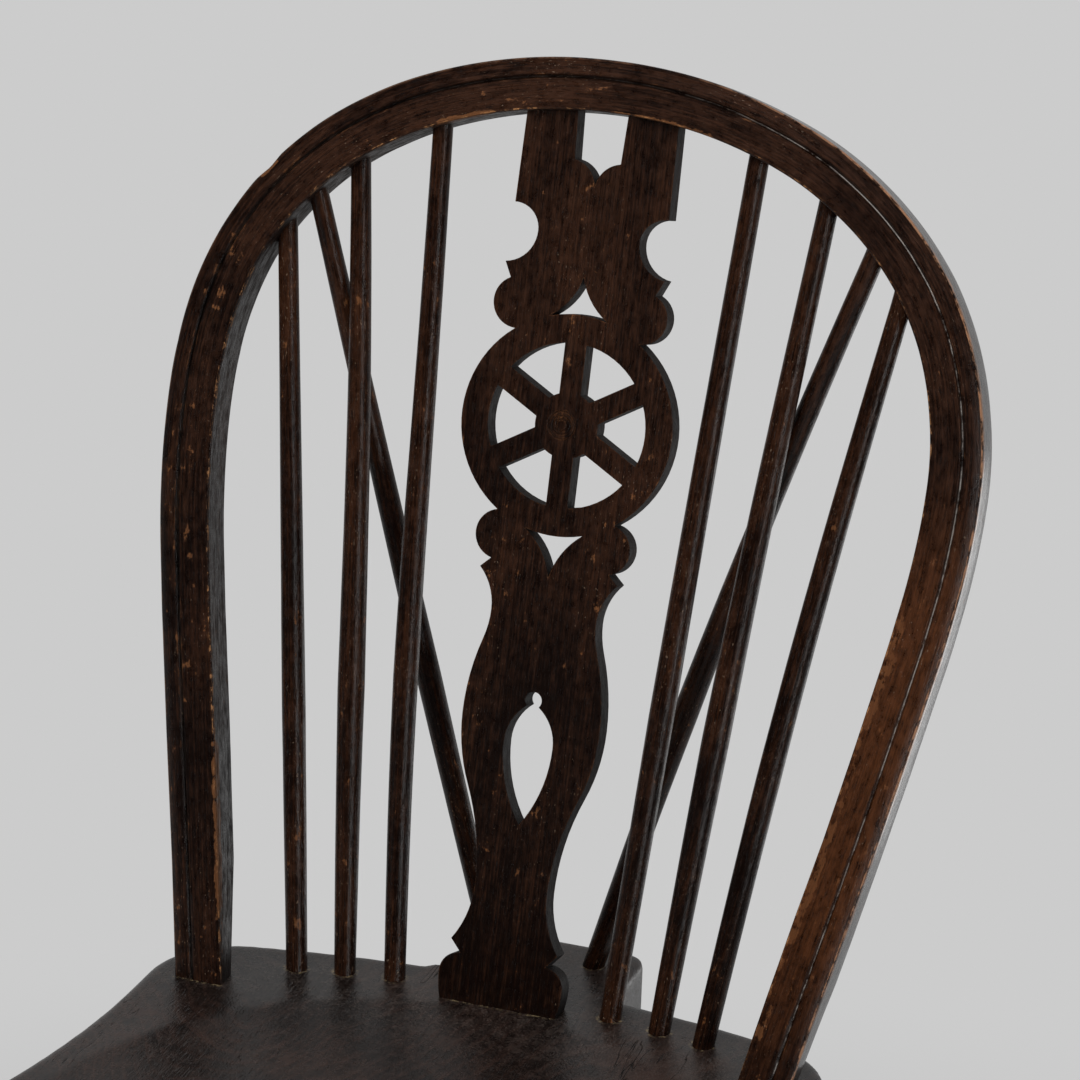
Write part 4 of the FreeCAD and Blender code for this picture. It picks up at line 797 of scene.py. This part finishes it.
def spindle_tree():
    """One turned spindle: a line from socket to socket, swept with a round section."""
    tree = bpy.data.node_groups.new("turned_spindle", "GeometryNodeTree")
    inputs = {
        "Foot": "NodeSocketVector",
        "Head": "NodeSocketVector",
        "Bow": "NodeSocketVector",
        "Whip": "NodeSocketVector",
        "Belly Radius": "NodeSocketFloat",
        "Seed": "NodeSocketFloat",
        "Wood": "NodeSocketMaterial",
    }
    for name, kind in inputs.items():
        tree.interface.new_socket(name=name, in_out="INPUT", socket_type=kind)
    tree.interface.new_socket(name="Spindle", in_out="OUTPUT", socket_type="NodeSocketGeometry")
    start = Wire(tree)
    given = tree.nodes.new("NodeGroupInput")
    foot, head, bow, whip, belly, seed, wood = [Wire(tree, given.outputs[name]) for name in inputs]

    run = head.vector("SUBTRACT", foot)
    span = run.vector("LENGTH", output="Value")
    ahead = run.vector("NORMALIZE")
    low, high = ahead.scaled((-FOOT_SOCKET,) * 3), ahead.scaled((HEAD_SOCKET,) * 3)
    ends = {"Start": foot.vector("ADD", low), "End": head.vector("ADD", high)}
    line = start.node("GeometryNodeCurvePrimitiveLine", ends)
    line = start.node("GeometryNodeResampleCurve", {"Curve": line, "Count": RINGS_ALONG})
    length = start.node("GeometryNodeSplineParameter", output="Length")
    share = (length - FOOT_SOCKET) / span
    inside = share.maths("MAXIMUM", 0.0).maths("MINIMUM", 1.0)
    arch = (inside * math.pi).maths("SINE")
    sway = (inside * math.pi * 2.0).maths("SINE")
    sag = start.node("ShaderNodeVectorMath", {0: bow, "Scale": arch}, operation="SCALE")
    snake = start.node("ShaderNodeVectorMath", {0: whip, "Scale": sway}, operation="SCALE")
    offset = {"Geometry": line, "Offset": sag.vector("ADD", snake)}
    line = start.node("GeometryNodeSetPosition", offset)
    swell = {"Value": share, "From Max": BELLY_SHARE, "To Min": FOOT_RADIUS, "To Max": belly}
    swell = start.node("ShaderNodeMapRange", swell)
    fall = {"Value": share, "From Min": BELLY_SHARE, "To Max": HEAD_RADIUS - belly}
    fall = start.node("ShaderNodeMapRange", fall)
    turning = start.node("ShaderNodeCombineXYZ", {"X": length * 22.0, "Y": seed})
    radius = (swell + fall) * (0.985 + 0.03 * turning.fog(1.0, 1.0, 0.5))
    circle = {"Resolution": RINGS_AROUND, "Radius": 1.0}
    circle = start.node("GeometryNodeCurvePrimitiveCircle", circle)
    sweep = {"Curve": line, "Profile Curve": circle, "Scale": radius, "Fill Caps": True}
    spindle = start.node("GeometryNodeCurveToMesh", sweep)
    spot = start.node("GeometryNodeInputPosition").vector("SUBTRACT", foot)
    turn = start.node("FunctionNodeAlignRotationToVector", {"Vector": ahead}, axis="Z")
    turn = start.node("FunctionNodeInvertRotation", {0: turn})
    spot = start.node("FunctionNodeRotateVector", {"Vector": spot, "Rotation": turn})
    shift = start.node("ShaderNodeCombineXYZ", {"X": seed, "Z": seed * 0.7})
    kept = {"Geometry": spindle, "Name": "grain", "Value": spot.vector("ADD", shift)}
    stored = {"data_type": "FLOAT_VECTOR", "domain": "POINT"}
    spindle = start.node("GeometryNodeStoreNamedAttribute", kept, **stored)
    spindle = start.node("GeometryNodeSetShadeSmooth", {"Geometry": spindle})
    spindle = start.node("GeometryNodeRealizeInstances", {0: spindle})
    spindle = start.node("GeometryNodeSetMaterial", {"Geometry": spindle, "Material": wood})
    made = tree.nodes.new("NodeGroupOutput")
    tree.links.new(spindle.socket, made.inputs[0])
    return tree


def grown(tree, values):
    """The plain mesh that a Geometry Nodes tree makes from its named inputs."""
    seedling = bpy.data.objects.new("seedling", bpy.data.meshes.new("seedling"))
    bpy.context.scene.collection.objects.link(seedling)
    modifier = seedling.modifiers.new("make", "NODES")
    modifier.node_group = tree
    for item in tree.interface.items_tree:
        if item.in_out == "INPUT":
            modifier[item.identifier] = values[item.name]
    depsgraph = bpy.context.evaluated_depsgraph_get()
    mesh = bpy.data.meshes.new_from_object(seedling.evaluated_get(depsgraph))
    bpy.data.objects.remove(seedling)
    return mesh


spindle = spindle_tree()
beech_spindle = stained_beech("waxed_beech_spindle", 0.0008, 0.4, red=0.75, satin=0.24)
hoop_frame = board_frame(SPLAT_LINE - HOOP_FORWARD, HOOP_RAKE)
seed = 0.0
for side_name, side in SIDES.items():
    for kind, (belly, heads) in SPINDLES.items():
        seed += 1.7
        node = f"{side_name}_{kind}"
        across, back = SPINDLE_FEET[kind]
        reach = heads[side_name]
        bow, whip = BOWS.get(node, (0.0, 0.0))
        head = hoop_frame @ Vector((side * reach, hoop_inside(reach), -HOOP_DEPTH / 2))
        values = {
            "Foot": (side * across[side_name], SPLAT_LINE + back, DECK),
            "Head": tuple(head),
            "Bow": (bow, 0.0, 0.0),
            "Whip": (whip, 0.0, 0.0),
            "Belly Radius": belly,
            "Seed": seed,
            "Wood": beech_spindle,
        }
        add_piece(f"{node}_turned", grown(spindle, values), node, beech_spindle)


# Legs and stretchers: turned beech, socketed up into the seat and splayed, with the stretchers
# driven into them in an H. They were turned green and stained like the rest.

FRONT_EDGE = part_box("seat")[0].y
SEAT_BACK = SPLAT_LINE + 0.0348
LEG_HEADS = {"front": (0.146, FRONT_EDGE + 0.072), "rear": (0.118, SEAT_BACK - 0.062)}
LEG_FEET = {"front": (0.188, FRONT_EDGE + 0.022), "rear": (0.176, SPLAT_LINE + 0.094)}


def lengthways(low, high):
    """A frame at one end of a turned piece, with local Z along it."""
    ahead = (Vector(high) - Vector(low)).to_track_quat("Z", "Y").to_matrix().to_4x4()
    return Matrix.Translation(low) @ ahead


beech_leg = stained_beech("waxed_beech_leg", 0.0015, 0.5, red=0.6)
for side_name, side in SIDES.items():
    for end_name, (spread, y) in LEG_HEADS.items():
        node = f"{side_name}_{end_name}_leg"
        foot_spread, foot_y = LEG_FEET[end_name]
        low, high = (side * foot_spread, foot_y, 0.0), (side * spread, y, UNDERSIDE)
        mesh = merged_copy(node)
        keep_grain(mesh, lengthways(low, high), offset=side + y)
        add_piece(f"{node}_turned", mesh, node, beech_leg)

for node in ("left_stretcher", "right_stretcher", "cross_stretcher"):
    low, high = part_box(node)
    middle = (low + high) / 2
    reach = (high - low) / 2
    long_way = Vector((reach.x, 0.0, 0.0) if reach.x > reach.y else (0.0, reach.y, 0.0))
    mesh = merged_copy(node)
    keep_grain(mesh, lengthways(middle - long_way, middle + long_way), offset=middle.x)
    add_piece(f"{node}_turned", mesh, node, beech_leg)
